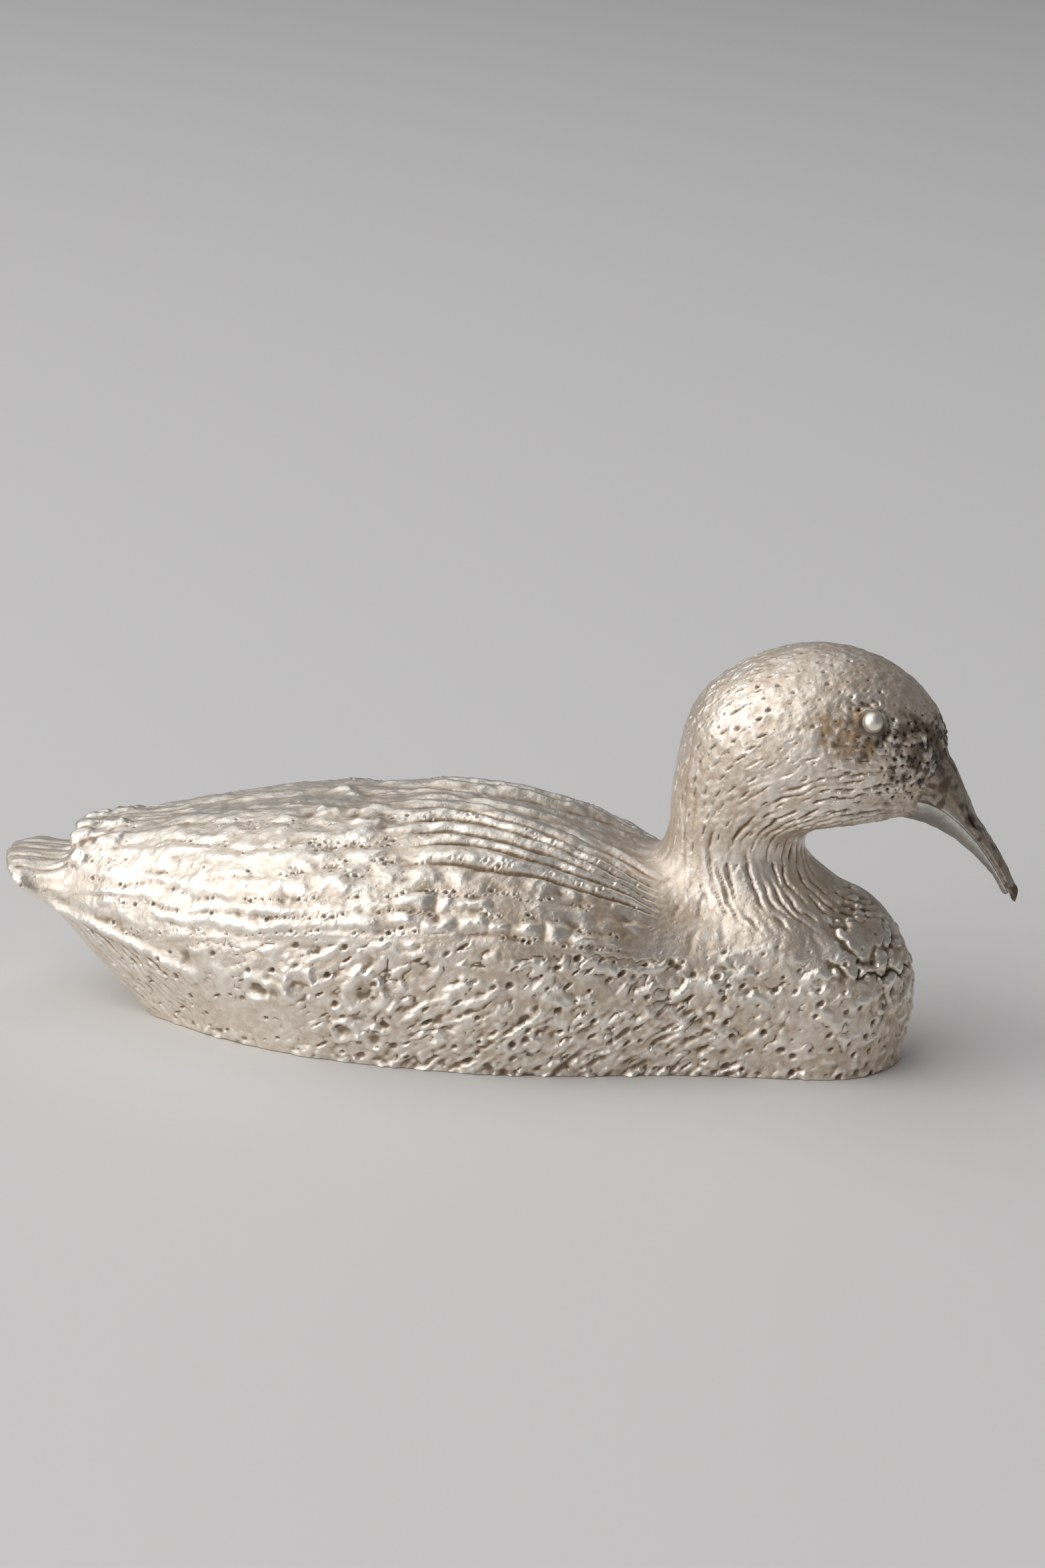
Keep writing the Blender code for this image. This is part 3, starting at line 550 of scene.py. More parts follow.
def neckRelief():
    phase = sweep / head["grooveGap"] + 0.45 * noise(points, 2.6, 51) + 0.2 * noise(points, 1.1, 52)
    groove = (1 - np.abs(np.sin(pi * phase))) ** 1.5
    angle = np.arctan2(zs - sweepZ, xs - sweepX)
    broken = noise(np.stack([angle * sweep / 4.5, phase * 0.9, np.sign(ys) * 0.3], 1), 1.0, 53)
    area = ahead * smoothStep(16.0, 20.0, zs) * smoothStep(40.5, 36.5, zs)
    area *= smoothStep(26.0, 17.0, sweep) * smoothStep(47.0, 43.0, xs)
    deep = head["grooveDepth"] * groove * smoothStep(-0.35, 0.2, broken) * area
    turn = np.arctan2(ys, xs - 27.0)
    tall = points / (1.0, 1.0, 3.5)
    fine = np.abs(np.sin(pi * (turn * 8.0 / head["neckGap"] / 2 + 0.5 * noise(tall, 1.8, 54))))
    fineArea = ahead * smoothStep(12.5, 17.0, zs) * smoothStep(38.0, 31.0, zs) * (1 - 0.7 * area)
    lines = head["neckDepth"] * (1 - fine) ** 1.3 * fineArea * smoothStep(-0.4, 0.2, noise(tall, 1.3, 55))
    return -deep - lines, np.maximum(deep / head["grooveDepth"], 0.7 * lines / head["neckDepth"])


neckPart, neckDark = neckRelief()
relief += neckPart
# the neck's grooves darkened with tarnish and painted shade
dirt_and_shade = np.maximum(dirt_and_shade, 0.7 * smoothStep(0.3, 0.95, neckDark))
headArea = ahead * smoothStep(25, 30, zs) * smoothStep(1.9, 2.6, eyeDistance)
relief += (0.12 * noise(points, 1.3, 61) + 0.05 * noise(points, 0.6, 64)) * headArea
loreArea = smoothStep(43.0, 46.0, xs + 0.4 * noise(points, 1.2, 65)) * smoothStep(32.5, 36.0, zs)
loreArea *= smoothStep(44.0, 41.5, zs)
loreArea *= smoothStep(1.7, 2.4, eyeDistance)
eyeArea = smoothStep(5.2, 2.4, eyeDistance) * smoothStep(1.4, 1.9, eyeDistance)
rough = np.maximum(loreArea, eyeArea)
crust = noise(points, 0.55, 62) + 0.7 * noise(points, 1.0, 63)
relief += head["crustRise"] * crust * rough
# the low spots of the crust darkened with tarnish and painted shade
dirt_and_shade = np.maximum(dirt_and_shade, 0.85 * smoothStep(-0.1, -0.42, crust) * rough)
relief += head["lidRise"] * hump(eyeDistance - head["lidRadius"], 0.32)
relief -= 0.3 * hump(eyeDistance - 2.5, 0.45) * smoothStep(-0.3, 0.3, noise(points, 1.4, 66))
browLine = np.full(len(points), 99.0)
for a, b in zip(np.array(head["brow"]), np.array(head["brow"])[1:]):
    browLine = np.minimum(browLine, fromLine(folded, a, b))
relief -= head["browDepth"] * hump(browLine, 0.9)
for i in scatter(headArea * smoothStep(35, 39, zs) * (1 - loreArea) * 0.1, head["pitGap"]):
    punch(i, rng.uniform(0.15, 0.36), rng.uniform(0.1, 0.26), black=rng.uniform(0.2, 0.9))
for i in scatter(loreArea * 0.3, head["lorePitGap"]):
    punch(i, rng.uniform(0.18, 0.42), rng.uniform(0.16, 0.34))
slitArea = headArea * smoothStep(31.0, 26.0, xs) * smoothStep(24, 28, zs)
slitArea += 0.6 * headArea * smoothStep(41, 36, zs)
for i in scatter(slitArea * 0.08, head["slitGap"]):
    away = points[i] - (sweepX, 0.0, sweepZ)
    flow = np.array((1.5 * away[2], 0.0, -away[0]))
    punch(i, rng.uniform(0.14, 0.22), rng.uniform(0.14, 0.3), flow, rng.uniform(0.6, 1.4),
          lip=0.3, black=rng.uniform(0.05, 0.5))
stain = smoothStep(6.4, 1.6, np.linalg.norm((folded - (40.4, 9.6, 41.4)) * (0.75, 1, 1.1), axis=1)) * ahead
rusty = smoothStep(-0.6, 0.15, noise(points, 1.4, 67) + 0.4 * noise(points, 0.7, 68))
ochre = np.maximum(ochre, stain * rusty)
mottled = smoothStep(-0.35, 0.45, noise(points, 1.5, 83) + 0.5 * noise(points, 0.7, 84))
soot_and_shade = np.maximum(soot_and_shade, loreArea * (0.42 + 0.5 * mottled))
# painted shadow along the brow groove, from above the eye to the bill
soot_and_shade = np.maximum(soot_and_shade, 0.95 * hump(browLine, 1.5) * smoothStep(42.5, 45, xs))
roundEye = smoothStep(4.2, 1.6, eyeDistance + 0.8 * noise(points, 1.2, 69))
soot_and_shade = np.maximum(soot_and_shade, 0.8 * roundEye * smoothStep(45.5, 42.0, zs))
for x, y, z, radius in head["stains"]:
    d = np.linalg.norm(folded - (x, y, z), axis=1) + 0.9 * noise(points, 1.1, 85)
    soot_and_shade = np.maximum(soot_and_shade, 0.7 * smoothStep(radius, 0.3 * radius, d))
# darker under the jaw and down the throat: painted shade
throat = 0.45 * smoothStep(33, 42, xs) * smoothStep(38, 33, zs) * ahead * smoothStep(26, 29, zs)
soot_and_shade = np.maximum(soot_and_shade, throat)
print("head and neck engraved")

# rump and tail: crumpled ends of the coverts, a sharp rim from the tail down the side, strokes below it
rump = {
    "knobs": ((-50.6, 1.6, 20.4), (-50.2, 4.4, 19.6), (-49.8, 7.0, 18.2),
              (-47.0, 2.8, 21.2), (-46.4, 6.4, 19.8)),
    "knobRadius": 1.7,
    "knobRise": 0.55,
    "rim": ((-60, -56, -52, -47.7, -42, -36, -30), (16.5, 14.2, 12.1, 11.7, 10.4, 8.9, 7.8)),
    "rimRise": 0.5,
    "strokeGap": 0.8,
    "strokeDepth": 0.22,
    "feathers": 7,
    "featherGroove": 0.24,
    "tailHalf": 9.0,
    "hollowDepth": 0.35,     # at the bend of the wing
    "crumpleRise": 0.4,      # along the edge of the sole
}
for x, y, z in rump["knobs"]:
    for side in (-1, 1):
        centre = points[tree.find((x, side * y, z))[1]]
        found = nearby(centre, rump["knobRadius"] * 1.6)
        d = np.linalg.norm((points[found] - centre) * (0.75, 1.1, 1.0), axis=1) / rump["knobRadius"]
        d = d * (1 + 0.4 * noise(points[found], 1.2, 71))
        relief[found] += rump["knobRise"] * smoothStep(1.0, 0.35, d)
rumpArea = smoothStep(-43, -48, xs) * smoothStep(17.3, 18.3, zs)
relief += (0.2 * noise(points, 1.6, 76) + 0.07 * noise(points, 0.7, 77)) * rumpArea
rimHeight = smoothCurve(*rump["rim"])(xs)
rimLine = rump["rimRise"] * hump(zs - rimHeight, 0.7) * smoothStep(-31, -40, xs)
relief += rimLine * (1 + 0.5 * noise(points, 1.6, 78))
underTail = smoothStep(0.0, -0.8, zs - rimHeight) * smoothStep(-30, -38, xs) * smoothStep(0.3, 1.0, zs)
stroke = np.abs(np.sin(pi * ((xs * 0.64 + zs * 0.77) / rump["strokeGap"] + 0.4 * noise(points, 2.0, 72))))
relief -= rump["strokeDepth"] * (1 - stroke) * underTail * smoothStep(-0.5, 0.1, noise(points, 1.6, 79))
tailTop = smoothStep(-49.5, -52, xs) * smoothStep(0.3, 1.5, zs - rimHeight) * smoothStep(18.2, 17.6, zs)
across = rump["feathers"] * pi * (ys / rump["tailHalf"] + 1) / 2
between = 1 - np.abs(np.sin(across + 0.3 * noise(stretched, 1.8, 80)))
relief -= rump["featherGroove"] * between ** 2 * tailTop
relief += 0.14 * noise(stretched, 0.9, 81) * tailTop
relief -= rump["hollowDepth"] * hollowPatch
crumple = smoothStep(1.9, 0.3, zs) * smoothStep(-0.3, 0.2, noise(points, 3.0, 73)) * smoothStep(-40, -34, xs)
relief += rump["crumpleRise"] * crumple * noise(points, 0.85, 74)
relief += 0.04 * noise(points, 0.5, 75)

# browner towards the front and on the face: partly tarnish, partly painted shade on the side turned from the
# key lamp
tarnish_and_shade = 0.5 + 0.22 * smoothStep(-35, 15, xs) + 0.1 * noise(points, 6.0, 82)
tarnish_and_shade += 0.1 * smoothStep(38, 46, xs) * ahead

# the finished skin, with its recesses and crests kept for the finishes: the recesses take brown tarnish and
# painted shade, the crests stay bright
relief = np.clip(relief, -0.9, 1.2)
smoothRelief = soften(relief, edges, 16)
broadRelief = soften(smoothRelief, edges, 90)
sunk, broadSunk = smoothRelief - relief, broadRelief - smoothRelief
recess = np.clip(sunk / 0.2 + 0.5 * np.clip(broadSunk / 0.2, 0, 1), 0, 1)
crest = np.clip(-sunk / 0.18 + 0.5 * np.clip(-broadSunk / 0.2, 0, 1), 0, 1)
moved = normals * relief[:, None]
moved[:, 2] *= smoothStep(0.0, 0.5, zs)                      # the sole stays flat
skinPoints = points + moved
print("skin finished: relief", round(float(relief.min()), 2), "to", round(float(relief.max()), 2))


# moves the nearer end of every edge that crosses the line where the values are 0 onto that line
def snapTo(values, faces=slice(None)):
    cut = tris[faces]
    pairs = np.concatenate([cut[:, [0, 1]], cut[:, [1, 2]], cut[:, [2, 0]]])
    a, b = values[pairs[:, 0]], values[pairs[:, 1]]
    crossing = a * b < 0
    pairs, t = pairs[crossing], (a[crossing] / (a[crossing] - b[crossing]))
    nearer = np.where(t < 0.5, pairs[:, 0], pairs[:, 1])
    start, end = skinPoints[pairs[:, 0]], skinPoints[pairs[:, 1]]
    skinPoints[nearer] = start + t[:, None] * (end - start)
    values[nearer] = 0
    return np.sign(values[tris].sum(axis=1)) > 0


# outline of the wing: ends along the body, middle and half width in rows
wingEdge = {"rear": -44.0, "front": 18.0, "middle": 3.55, "half": 3.25}


def wingField():
    u = (xs - wingEdge["rear"]) / (wingEdge["front"] - wingEdge["rear"])
    close = np.maximum(np.maximum((u - 0.8) / 0.2, (0.2 - u) / 0.2), 0)
    field = wingEdge["half"] * np.sqrt(np.clip(1 - close ** 2, 0, 1)) - np.abs(row - wingEdge["middle"])
    return np.where((u > 0) & (u < 1), field, -1.0)


aboveSole = snapTo(skinPoints[:, 2].copy())
aheadOfTail = snapTo(skinPoints[:, 0] - cast["tailCut"], aboveSole)
kept = aboveSole & aheadOfTail
overSeam = snapTo(skinPoints[:, 2] - cast["seamHeight"], kept)
onBack = snapTo(behindShoulder(skinPoints), kept & overSeam)
onWing = snapTo(wingField(), kept & overSeam & onBack)
onRight = ys[tris].sum(axis=1) < 0
finalNormals = vertexNormals(skinPoints, tris[aboveSole])


def setMasks(mesh, masks):
    for name, values in masks.items():
        attribute = mesh.attributes.new(name, "FLOAT", "POINT")
        full = np.zeros(len(mesh.vertices), np.float32)
        full[:len(values)] = values
        attribute.data.foreach_set("value", full)


# seat for the sole plate: a step round its outline, sunk into the sole
sole = {"gap": 0.3, "depth": 1.4, "inset": 0.15}


# a second rim inside an open one, so that the face that closes it touches no other edge
def innerRim(body, rim, places):
    made = bmesh.ops.extrude_edge_only(body, edges=rim)["geom"]
    inner = {v for v in made if isinstance(v, bmesh.types.BMVert)}
    for vert in inner:
        outer = next(o for o in (e.other_vert(vert) for e in vert.link_edges) if o not in inner)
        vert.co = places[outer.index] * mm
    return [e for e in made if isinstance(e, bmesh.types.BMEdge) and all(v in inner for v in e.verts)]


def sinkSole(body, used):
    rim = [e for e in body.edges if e.is_boundary and all(abs(v.co.z) < 1e-7 for v in e.verts)]
    level = normals[used] * (1, 1, 0)
    level = level / np.maximum(np.linalg.norm(level, axis=1, keepdims=True), 1e-9)
    rim = innerRim(body, rim, skinPoints[used] - level * sole["inset"])
    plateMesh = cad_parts["base_plate"].data
    low = min(v.co.z for v in plateMesh.vertices)
    outline = {(round(v.co.x, 6), round(v.co.y, 6)) for v in plateMesh.vertices if v.co.z < low + 1e-5}
    ring = [Vector(p) for p in sorted(outline, key=lambda p: atan2(p[1], p[0]))]
    lower, upper = [], []
    for p in ring:
        place = p + p.normalized() * sole["gap"] * mm
        lower.append(body.verts.new((*place, 0.0)))
        upper.append(body.verts.new((*place, sole["depth"] * mm)))
    count = len(ring)
    step = [body.edges.new((lower[k], lower[(k + 1) % count])) for k in range(count)]
    bmesh.ops.triangle_fill(body, edges=rim + step, use_beauty=True, normal=(0, 0, -1))
    for k in range(count):
        n = (k + 1) % count
        body.faces.new((lower[k], lower[n], upper[n], upper[k]))
    bmesh.ops.triangulate(body, faces=[body.faces.new(upper)])


# closes each open rim of a piece with one flat or bowed face
def closeRims(body):
    waiting = {e.index: e for e in body.edges if e.is_boundary}
    while waiting:
        edge = waiting.pop(next(iter(waiting)))
        rim = [edge.verts[0], edge.verts[1]]
        while rim[-1] is not rim[0]:
            edge = next(e for e in rim[-1].link_edges if e.index in waiting)
            waiting.pop(edge.index)
            rim.append(edge.other_vert(rim[-1]))
        bmesh.ops.triangulate(body, faces=[body.faces.new(rim[:-1])])
        body.edges.index_update()
        waiting = {e.index: e for e in body.edges if e.is_boundary}


# cuts one piece out of the skin and closes it into a solid
def skinPiece(name, faces, inset=1.5, onFloor=False):
    used, corners = np.unique(tris[faces], return_inverse=True)
    mesh = bpy.data.meshes.new(name)
    mesh.from_pydata((skinPoints[used] * mm).tolist(), [], corners.reshape(-1, 3).tolist())
    body = bmesh.new()
    body.from_mesh(mesh)
    if onFloor:
        sinkSole(body, used)
    innerRim(body, [e for e in body.edges if e.is_boundary], points[used] - normals[used] * inset)
    body.edges.index_update()
    closeRims(body)
    bmesh.ops.recalc_face_normals(body, faces=body.faces)
    if body.calc_volume(signed=True) < 0:
        bmesh.ops.reverse_faces(body, faces=body.faces)
    openEdges = sum(not e.is_manifold for e in body.edges)
    body.to_mesh(mesh)
    body.free()
    skinCount = int(faces.sum())
    mesh.polygons.foreach_set("use_smooth", np.arange(len(mesh.polygons)) < skinCount)
    print(name, len(mesh.polygons), "faces, open edges", openEdges)
    corner = np.empty(len(mesh.loops), np.int64)
    mesh.loops.foreach_get("vertex_index", corner)
    vertexNormal = np.zeros((len(mesh.vertices), 3))
    vertexNormal[:len(used)] = finalNormals[used]
    cornerNormals = vertexNormal[corner]
    cornerNormals[skinCount * 3:] = 0                            # the cut faces keep their own
    mesh.normals_split_custom_set(cornerNormals.tolist())        # no crease where two pieces meet
    setMasks(mesh, {"recess": recess[used], "crest": crest[used], "dirt_and_shade": dirt_and_shade[used],
                    "ochre": ochre[used], "soot_and_shade": soot_and_shade[used], "tarnish_and_shade": tarnish_and_shade[used]})
    return addObject(name, mesh)


hull = skinPiece("punchedHull", kept & ~overSeam, onFloor=True)
breastHead = skinPiece("engravedHeadAndBreast", kept & overSeam & ~onBack)
back = skinPiece("mantleAndRump", kept & overSeam & onBack & ~onWing)
rightWing = skinPiece("rightFoldedWing", kept & overSeam & onBack & onWing & onRight)
leftWing = skinPiece("leftFoldedWing", kept & overSeam & onBack & onWing & ~onRight)
tailFan = skinPiece("notchedTailFan", aboveSole & ~aheadOfTail, inset=0.8)
print("pieces cut")


# closed tube of rings, each ring a closed line of the same number of points
def ringMesh(name, rings, masks):
    rings = np.asarray(rings, float)
    count, around = rings.shape[:2]
    index = np.arange(count * around).reshape(count, around)
    ahead, beside = index[1:], np.roll(index, -1, axis=1)
    faces = np.stack([index[:-1], beside[:-1], beside[1:], ahead], axis=2).reshape(-1, 4).tolist()
    faces += [index[0][::-1].tolist(), index[-1].tolist()]
    mesh = bpy.data.meshes.new(name)
    mesh.from_pydata((rings.reshape(-1, 3) * mm).tolist(), [], faces)
    body = bmesh.new()
    body.from_mesh(mesh)
    bmesh.ops.triangulate(body, faces=[f for f in body.faces if len(f.verts) > 4])
    bmesh.ops.recalc_face_normals(body, faces=body.faces)
    body.to_mesh(mesh)
    body.free()
    mesh.shade_smooth()
    setMasks(mesh, {key: np.asarray(values).ravel() for key, values in masks.items()})
    return addObject(name, mesh)


# bill: two halves that part along a bowed line, with nostrils in the upper one
bill = {
    "tip": (59.5, 20.4), "partRoot": (49.3, 32.6), "topRoot": (50.4, 38.3), "underRoot": (47.6, 29.5),
    "partBow": 1.9, "topDip": 0.5, "underBow": 1.6,
    "width": 9.8, "tipWidth": 2.2, "tipDepth": 0.95, "nail": 1.0, "sunk": 2.2, "gap": 0.06,
    "nostril": (0.42, 0.3, 0.5),     # share of the length, share of the half turn, depth
    "lipRise": 0.26, "grooveDepth": 0.3,
    "steps": 90, "around": 61, "across": 21,     # rings along the bill, points over and under it
}


def bowed(start, end, bow, t):
    point = np.array(start) * (1 - t) + np.array(end) * t
    point[1] += 4 * bow * t * (1 - t)
    return point


def billRings(upper):
    edgeRoot = bill["topRoot"] if upper else bill["underRoot"]
    edgeBow = -bill["topDip"] if upper else bill["underBow"]
    reach = np.linalg.norm(np.subtract(bill["tip"], bill["partRoot"]))
    end = 1.0 if upper else 1 - bill["nail"] / reach
    tipRise = np.array((0.5, 0.87)) * (1 if upper else -1)
    turns = np.linspace(0, pi, bill["around"])
    fromEdge = np.minimum(turns, pi - turns)
    flat = np.linspace(-1, 1, bill["across"])[1:-1]
    quiet = np.zeros(len(flat))
    rings, masks = [], {"recess": [], "crest": [], "dirt_and_shade": [], "soot_and_shade": []}
    for s in np.concatenate([[-1.0], np.linspace(0, 1, bill["steps"])]):
        t = end * max(s, 0.0)
        part = bowed(bill["partRoot"], bill["tip"], bill["partBow"], t)
        rise = bowed(edgeRoot, bill["tip"], edgeBow, t) - part
        length = np.linalg.norm(rise)                            # nothing at the very tip
        depth = max(length, bill["tipDepth"])
        rise = rise / max(length, 1e-9) * (1 - t) + tipRise * t
        rise = rise / np.linalg.norm(rise)
        foot = part + rise * bill["gap"]
        if s < 0:
            foot = foot + np.array((-1.0, 0.15)) * bill["sunk"]
        half = bill["tipWidth"] / 2 + (bill["width"] - bill["tipWidth"]) / 2 * (1 - t) ** 1.1
        close = sqrt(max(0.02, 1 - max(0.0, (s - 0.95) / 0.05) ** 2))
        half, depth = half * close, depth * close
        place = np.stack([foot[0] + rise[0] * depth * np.sin(turns), half * np.cos(turns),
                          foot[1] + rise[1] * depth * np.sin(turns)], axis=1)
        rough = noise(place, 0.9, 91) * 0.07 + noise(place, 0.4, 92) * 0.04
        swell, hole, black = rough.copy(), np.zeros(len(turns)), np.zeros(len(turns))
        if upper:
            at, turn, deep = bill["nostril"]
            beside = fromEdge / pi - turn
            slot = np.hypot((t - at - 0.06 * beside) / 0.085, beside / 0.1)
            hole = smoothStep(1.0, 0.35, slot)
            swell += bill["lipRise"] * (hump(fromEdge, 0.16) + 0.6 * hump(fromEdge - 0.52, 0.12))
            swell -= deep * hole
            swell += 0.1 * hump(slot - 1.25, 0.3)
            swell -= bill["grooveDepth"] * hump(t - 0.05, 0.035) * smoothStep(0.5, 1.2, fromEdge)
            swell += 0.28 * smoothStep(0.93, 0.98, t)
            atRoot = 0.85 * smoothStep(0.24, 0.03, t + 0.1 * noise(place, 1.0, 93))
            black = smoothStep(0.9, 0.97, t) + atRoot * (0.6 + 0.7 * noise(place, 0.7, 96))
            black = black + 0.75 * hump(slot, 1.7) + 0.65 * smoothStep(-0.1, 0.45, noise(place, 1.1, 94))
        else:
            line = hump(fromEdge - 0.95, 0.13) * smoothStep(0.05, 0.2, t)
            swell -= 0.14 * line
            hole = 0.35 * line
        swell = swell * min(1.0, depth / 1.2) * close
        outward = np.stack([rise[0] * np.sin(turns), np.cos(turns), rise[1] * np.sin(turns)], axis=1)
        under = np.stack([quiet + foot[0], half * flat, quiet + foot[1]], axis=1)
        rings.append(np.concatenate([place + outward * swell[:, None], under]))
        # the nostril and the line on the lower bill darkened with tarnish and painted shade; the edges stay
        # bright
        masks["recess"].append(np.concatenate([np.clip(hole - rough * 5, 0, 1), quiet + 1]))
        masks["crest"].append(np.concatenate([hump(fromEdge, 0.2), quiet]))
        masks["dirt_and_shade"].append(np.concatenate([hole if upper else hole * 0, quiet]))
        masks["soot_and_shade"].append(np.concatenate([np.clip(black, 0, 1), quiet]))
    return rings, masks


upperBill = ringMesh("upperBill", *billRings(True))
lowerBill = ringMesh("lowerBill", *billRings(False))
print("bill made")

# eyes: cast beads with a flattened front and a collar where the lid meets them
eye = {
    "radius": 1.12, "sunk": 0.34, "flat": 0.86, "collar": 0.14,
    "stem": 0.6, "stemLength": 3.0,
    "facing": (0.25, 0.9, 0.35),     # the left one
    "steps": 40, "around": 48,
}


def eyeBead(name, side):
    out = Vector(np.array(eye["facing"]) * (1, side, 1)).normalized()
    surface = Vector(skinPoints[tree.find(eyePlace * (1, side, 1))[1]])
    turn = np.array(out.to_track_quat("Z", "Y").to_matrix())
    centre = np.array(surface - out * eye["sunk"])
    profile = [(eye["stem"], -eye["stemLength"])]
    for a in np.linspace(-pi / 2 + 0.6, pi / 2 - 0.02, eye["steps"]):
        r = eye["radius"] * cos(a) * (1 + eye["collar"] * hump(a + 0.1, 0.16))
        profile.append((max(r, 0.02), eye["radius"] * sin(a) * (eye["flat"] if a > 0 else 1.0)))
    spin = np.linspace(0, 2 * pi, eye["around"], endpoint=False)
    rings = []
    for r, z in profile:
        local = np.stack([r * np.cos(spin), r * np.sin(spin), np.full(len(spin), z)], axis=1)
        local *= (1 + 0.03 * noise(local + side * 5, 0.6, 95))[:, None]
        rings.append(local @ turn.T + centre)
    # darker where the bead sinks into the lid, with tarnish and painted shade; the front stays bright
    dark = [np.full(len(spin), smoothStep(0.5, -0.2, z)) for _, z in profile]
    return ringMesh(name, rings, {"recess": dark, "crest": 1 - np.array(dark)})


rightEye = eyeBead("rightEyeBead", -1)
leftEye = eyeBead("leftEyeBead", 1)
print("eyes made")

# sole plate: the sheet that closes the casting from below, with a filed edge
plate = {
    "chamfer": 0.2,
    "corner": 1.0,           # edges that bend by more than this, in radians, are filed
    "recess": 0.2,
}


def solePlate():
    shape = bmesh.new()
    shape.from_mesh(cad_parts["base_plate"].data)
    bmesh.ops.remove_doubles(shape, verts=shape.verts, dist=1e-6)
    bmesh.ops.dissolve_limit(shape, angle_limit=0.02, verts=shape.verts, edges=shape.edges)
    rim = [e for e in shape.edges if e.calc_face_angle(0) > plate["corner"]]
    bmesh.ops.bevel(shape, geom=rim, offset=plate["chamfer"] * mm, segments=2, affect="EDGES")
    bmesh.ops.triangulate(shape, faces=[f for f in shape.faces if len(f.verts) > 4])
    mesh = bpy.data.meshes.new("solePlate")
    shape.to_mesh(mesh)
    shape.free()
    setMasks(mesh, {"recess": np.full(len(mesh.vertices), plate["recess"])})
    return addObject("solePlate", mesh)


basePlate = solePlate()
print("sole plate made")


# shader helpers: add makes one node, and links or sets its inputs
def add(nodeTree, kind, settings=None, **inputs):
    node = nodeTree.nodes.new("ShaderNode" + kind)
    for key, value in (settings or {}).items():
        setattr(node, key, value)
    for key, value in inputs.items():
        socket = node.inputs[int(key[1:])] if key[1:].isdigit() else node.inputs[key.replace("_", " ")]
        if isinstance(value, bpy.types.NodeSocket):
            nodeTree.links.new(value, socket)
        else:
            socket.default_value = value
    return node


def newGroup(name, inputs, outputs):
    group = bpy.data.node_groups.new(name, "ShaderNodeTree")
    for label, value in inputs.items():
        kind = "NodeSocketColor" if isinstance(value, tuple) else "NodeSocketFloat"
        group.interface.new_socket(label, in_out="INPUT", socket_type=kind).default_value = value
    for label, kind in outputs.items():
        group.interface.new_socket(label, in_out="OUTPUT", socket_type="NodeSocket" + kind)
    return group, group.nodes.new("NodeGroupInput").outputs, group.nodes.new("NodeGroupOutput").inputs


def mixColour(nodeTree, share, a, b):
    return add(nodeTree, "Mix", {"data_type": "RGBA"}, i0=share, i6=a, i7=b).outputs[2]


def ramp(nodeTree, value, low, high, start=0.0, end=1.0):
    return add(nodeTree, "MapRange", {"interpolation_type": "SMOOTHSTEP"}, Value=value,
               From_Min=low, From_Max=high, To_Min=start, To_Max=end).outputs[0]


def maths(nodeTree, operation, a, b):
    return add(nodeTree, "Math", {"operation": operation}, i0=a, i1=b).outputs[0]


# layers over the metal, from the lowest up: colour and most cover; brown, soot and black are part tarnish,
# part painted shade
patinaAndShade = {
    "brown": ((0.27, 0.19, 0.12, 1), 0.78),
    "rust": ((0.31, 0.185, 0.08, 1), 0.85),
    "soot_and_shade": ((0.1, 0.067, 0.04, 1), 0.9),
    "black": ((0.035, 0.026, 0.018, 1), 0.92),
}


# tarnish and painted shade that darken the recesses, and the crests left bright
def agedSilverGroup():
    group, given, result = newGroup(
        "agedSilver",
        {"Recess": 0.0, "Crest": 0.0, "Dirt_and_shade": 0.0, "Ochre": 0.0, "Soot_and_shade": 0.0, "Tarnish_and_shade": 0.5,
         "Bright": (0.93, 0.87, 0.79, 1), "Dull": (0.6, 0.49, 0.38, 1), "Polish": 0.39},
        {"Colour": "Color", "Roughness": "Float", "Metal": "Float"})

    def plus(a, b):
        return maths(group, "ADD", a, b)

    def times(a, b):
        return maths(group, "MULTIPLY", a, b)

    place = add(group, "TexCoord").outputs["Object"]
    cloud = add(group, "TexNoise", Vector=place, Scale=230.0, Detail=5.0, Roughness=0.65).outputs[0]
    speck = add(group, "TexNoise", Vector=place, Scale=1100.0, Detail=3.0, Roughness=0.65).outputs[0]
    dull = times(ramp(group, plus(cloud, times(speck, 0.35)), 0.5, 0.85, 0.45, 0.85), given["Tarnish_and_shade"])
    dull = ramp(group, maths(group, "SUBTRACT", dull, times(given["Crest"], 0.5)), 0.0, 0.8)
    low = plus(given["Recess"], times(maths(group, "SUBTRACT", speck, 0.5), 0.5))
    cover = {
        "brown": ramp(group, low, 0.2, 1.0),
        "rust": ramp(group, times(given["Ochre"], plus(speck, 0.3)), 0.3, 0.75),
        "soot_and_shade": ramp(group, times(given["Soot_and_shade"], plus(speck, 0.4)), 0.25, 0.8),
        "black": ramp(group, given["Dirt_and_shade"], 0.25, 0.9),
    }
    colour = mixColour(group, dull, given["Bright"], given["Dull"])
    for layer, (tint, most) in patinaAndShade.items():
        colour = mixColour(group, times(cover[layer], most), colour, tint)
    group.links.new(colour, result["Colour"])
    dark = maths(group, "MAXIMUM", cover["black"], cover["soot_and_shade"])
    worn = plus(plus(times(dull, 0.2), times(cover["brown"], 0.25)), times(dark, 0.2))
    group.links.new(plus(worn, given["Polish"]), result["Roughness"])
    stained = maths(group, "MAXIMUM", cover["soot_and_shade"], cover["rust"])
    covered = maths(group, "MAXIMUM", cover["black"], times(stained, 0.85))
    group.links.new(maths(group, "SUBTRACT", 1.0, times(covered, 0.8)), result["Metal"])
    return group


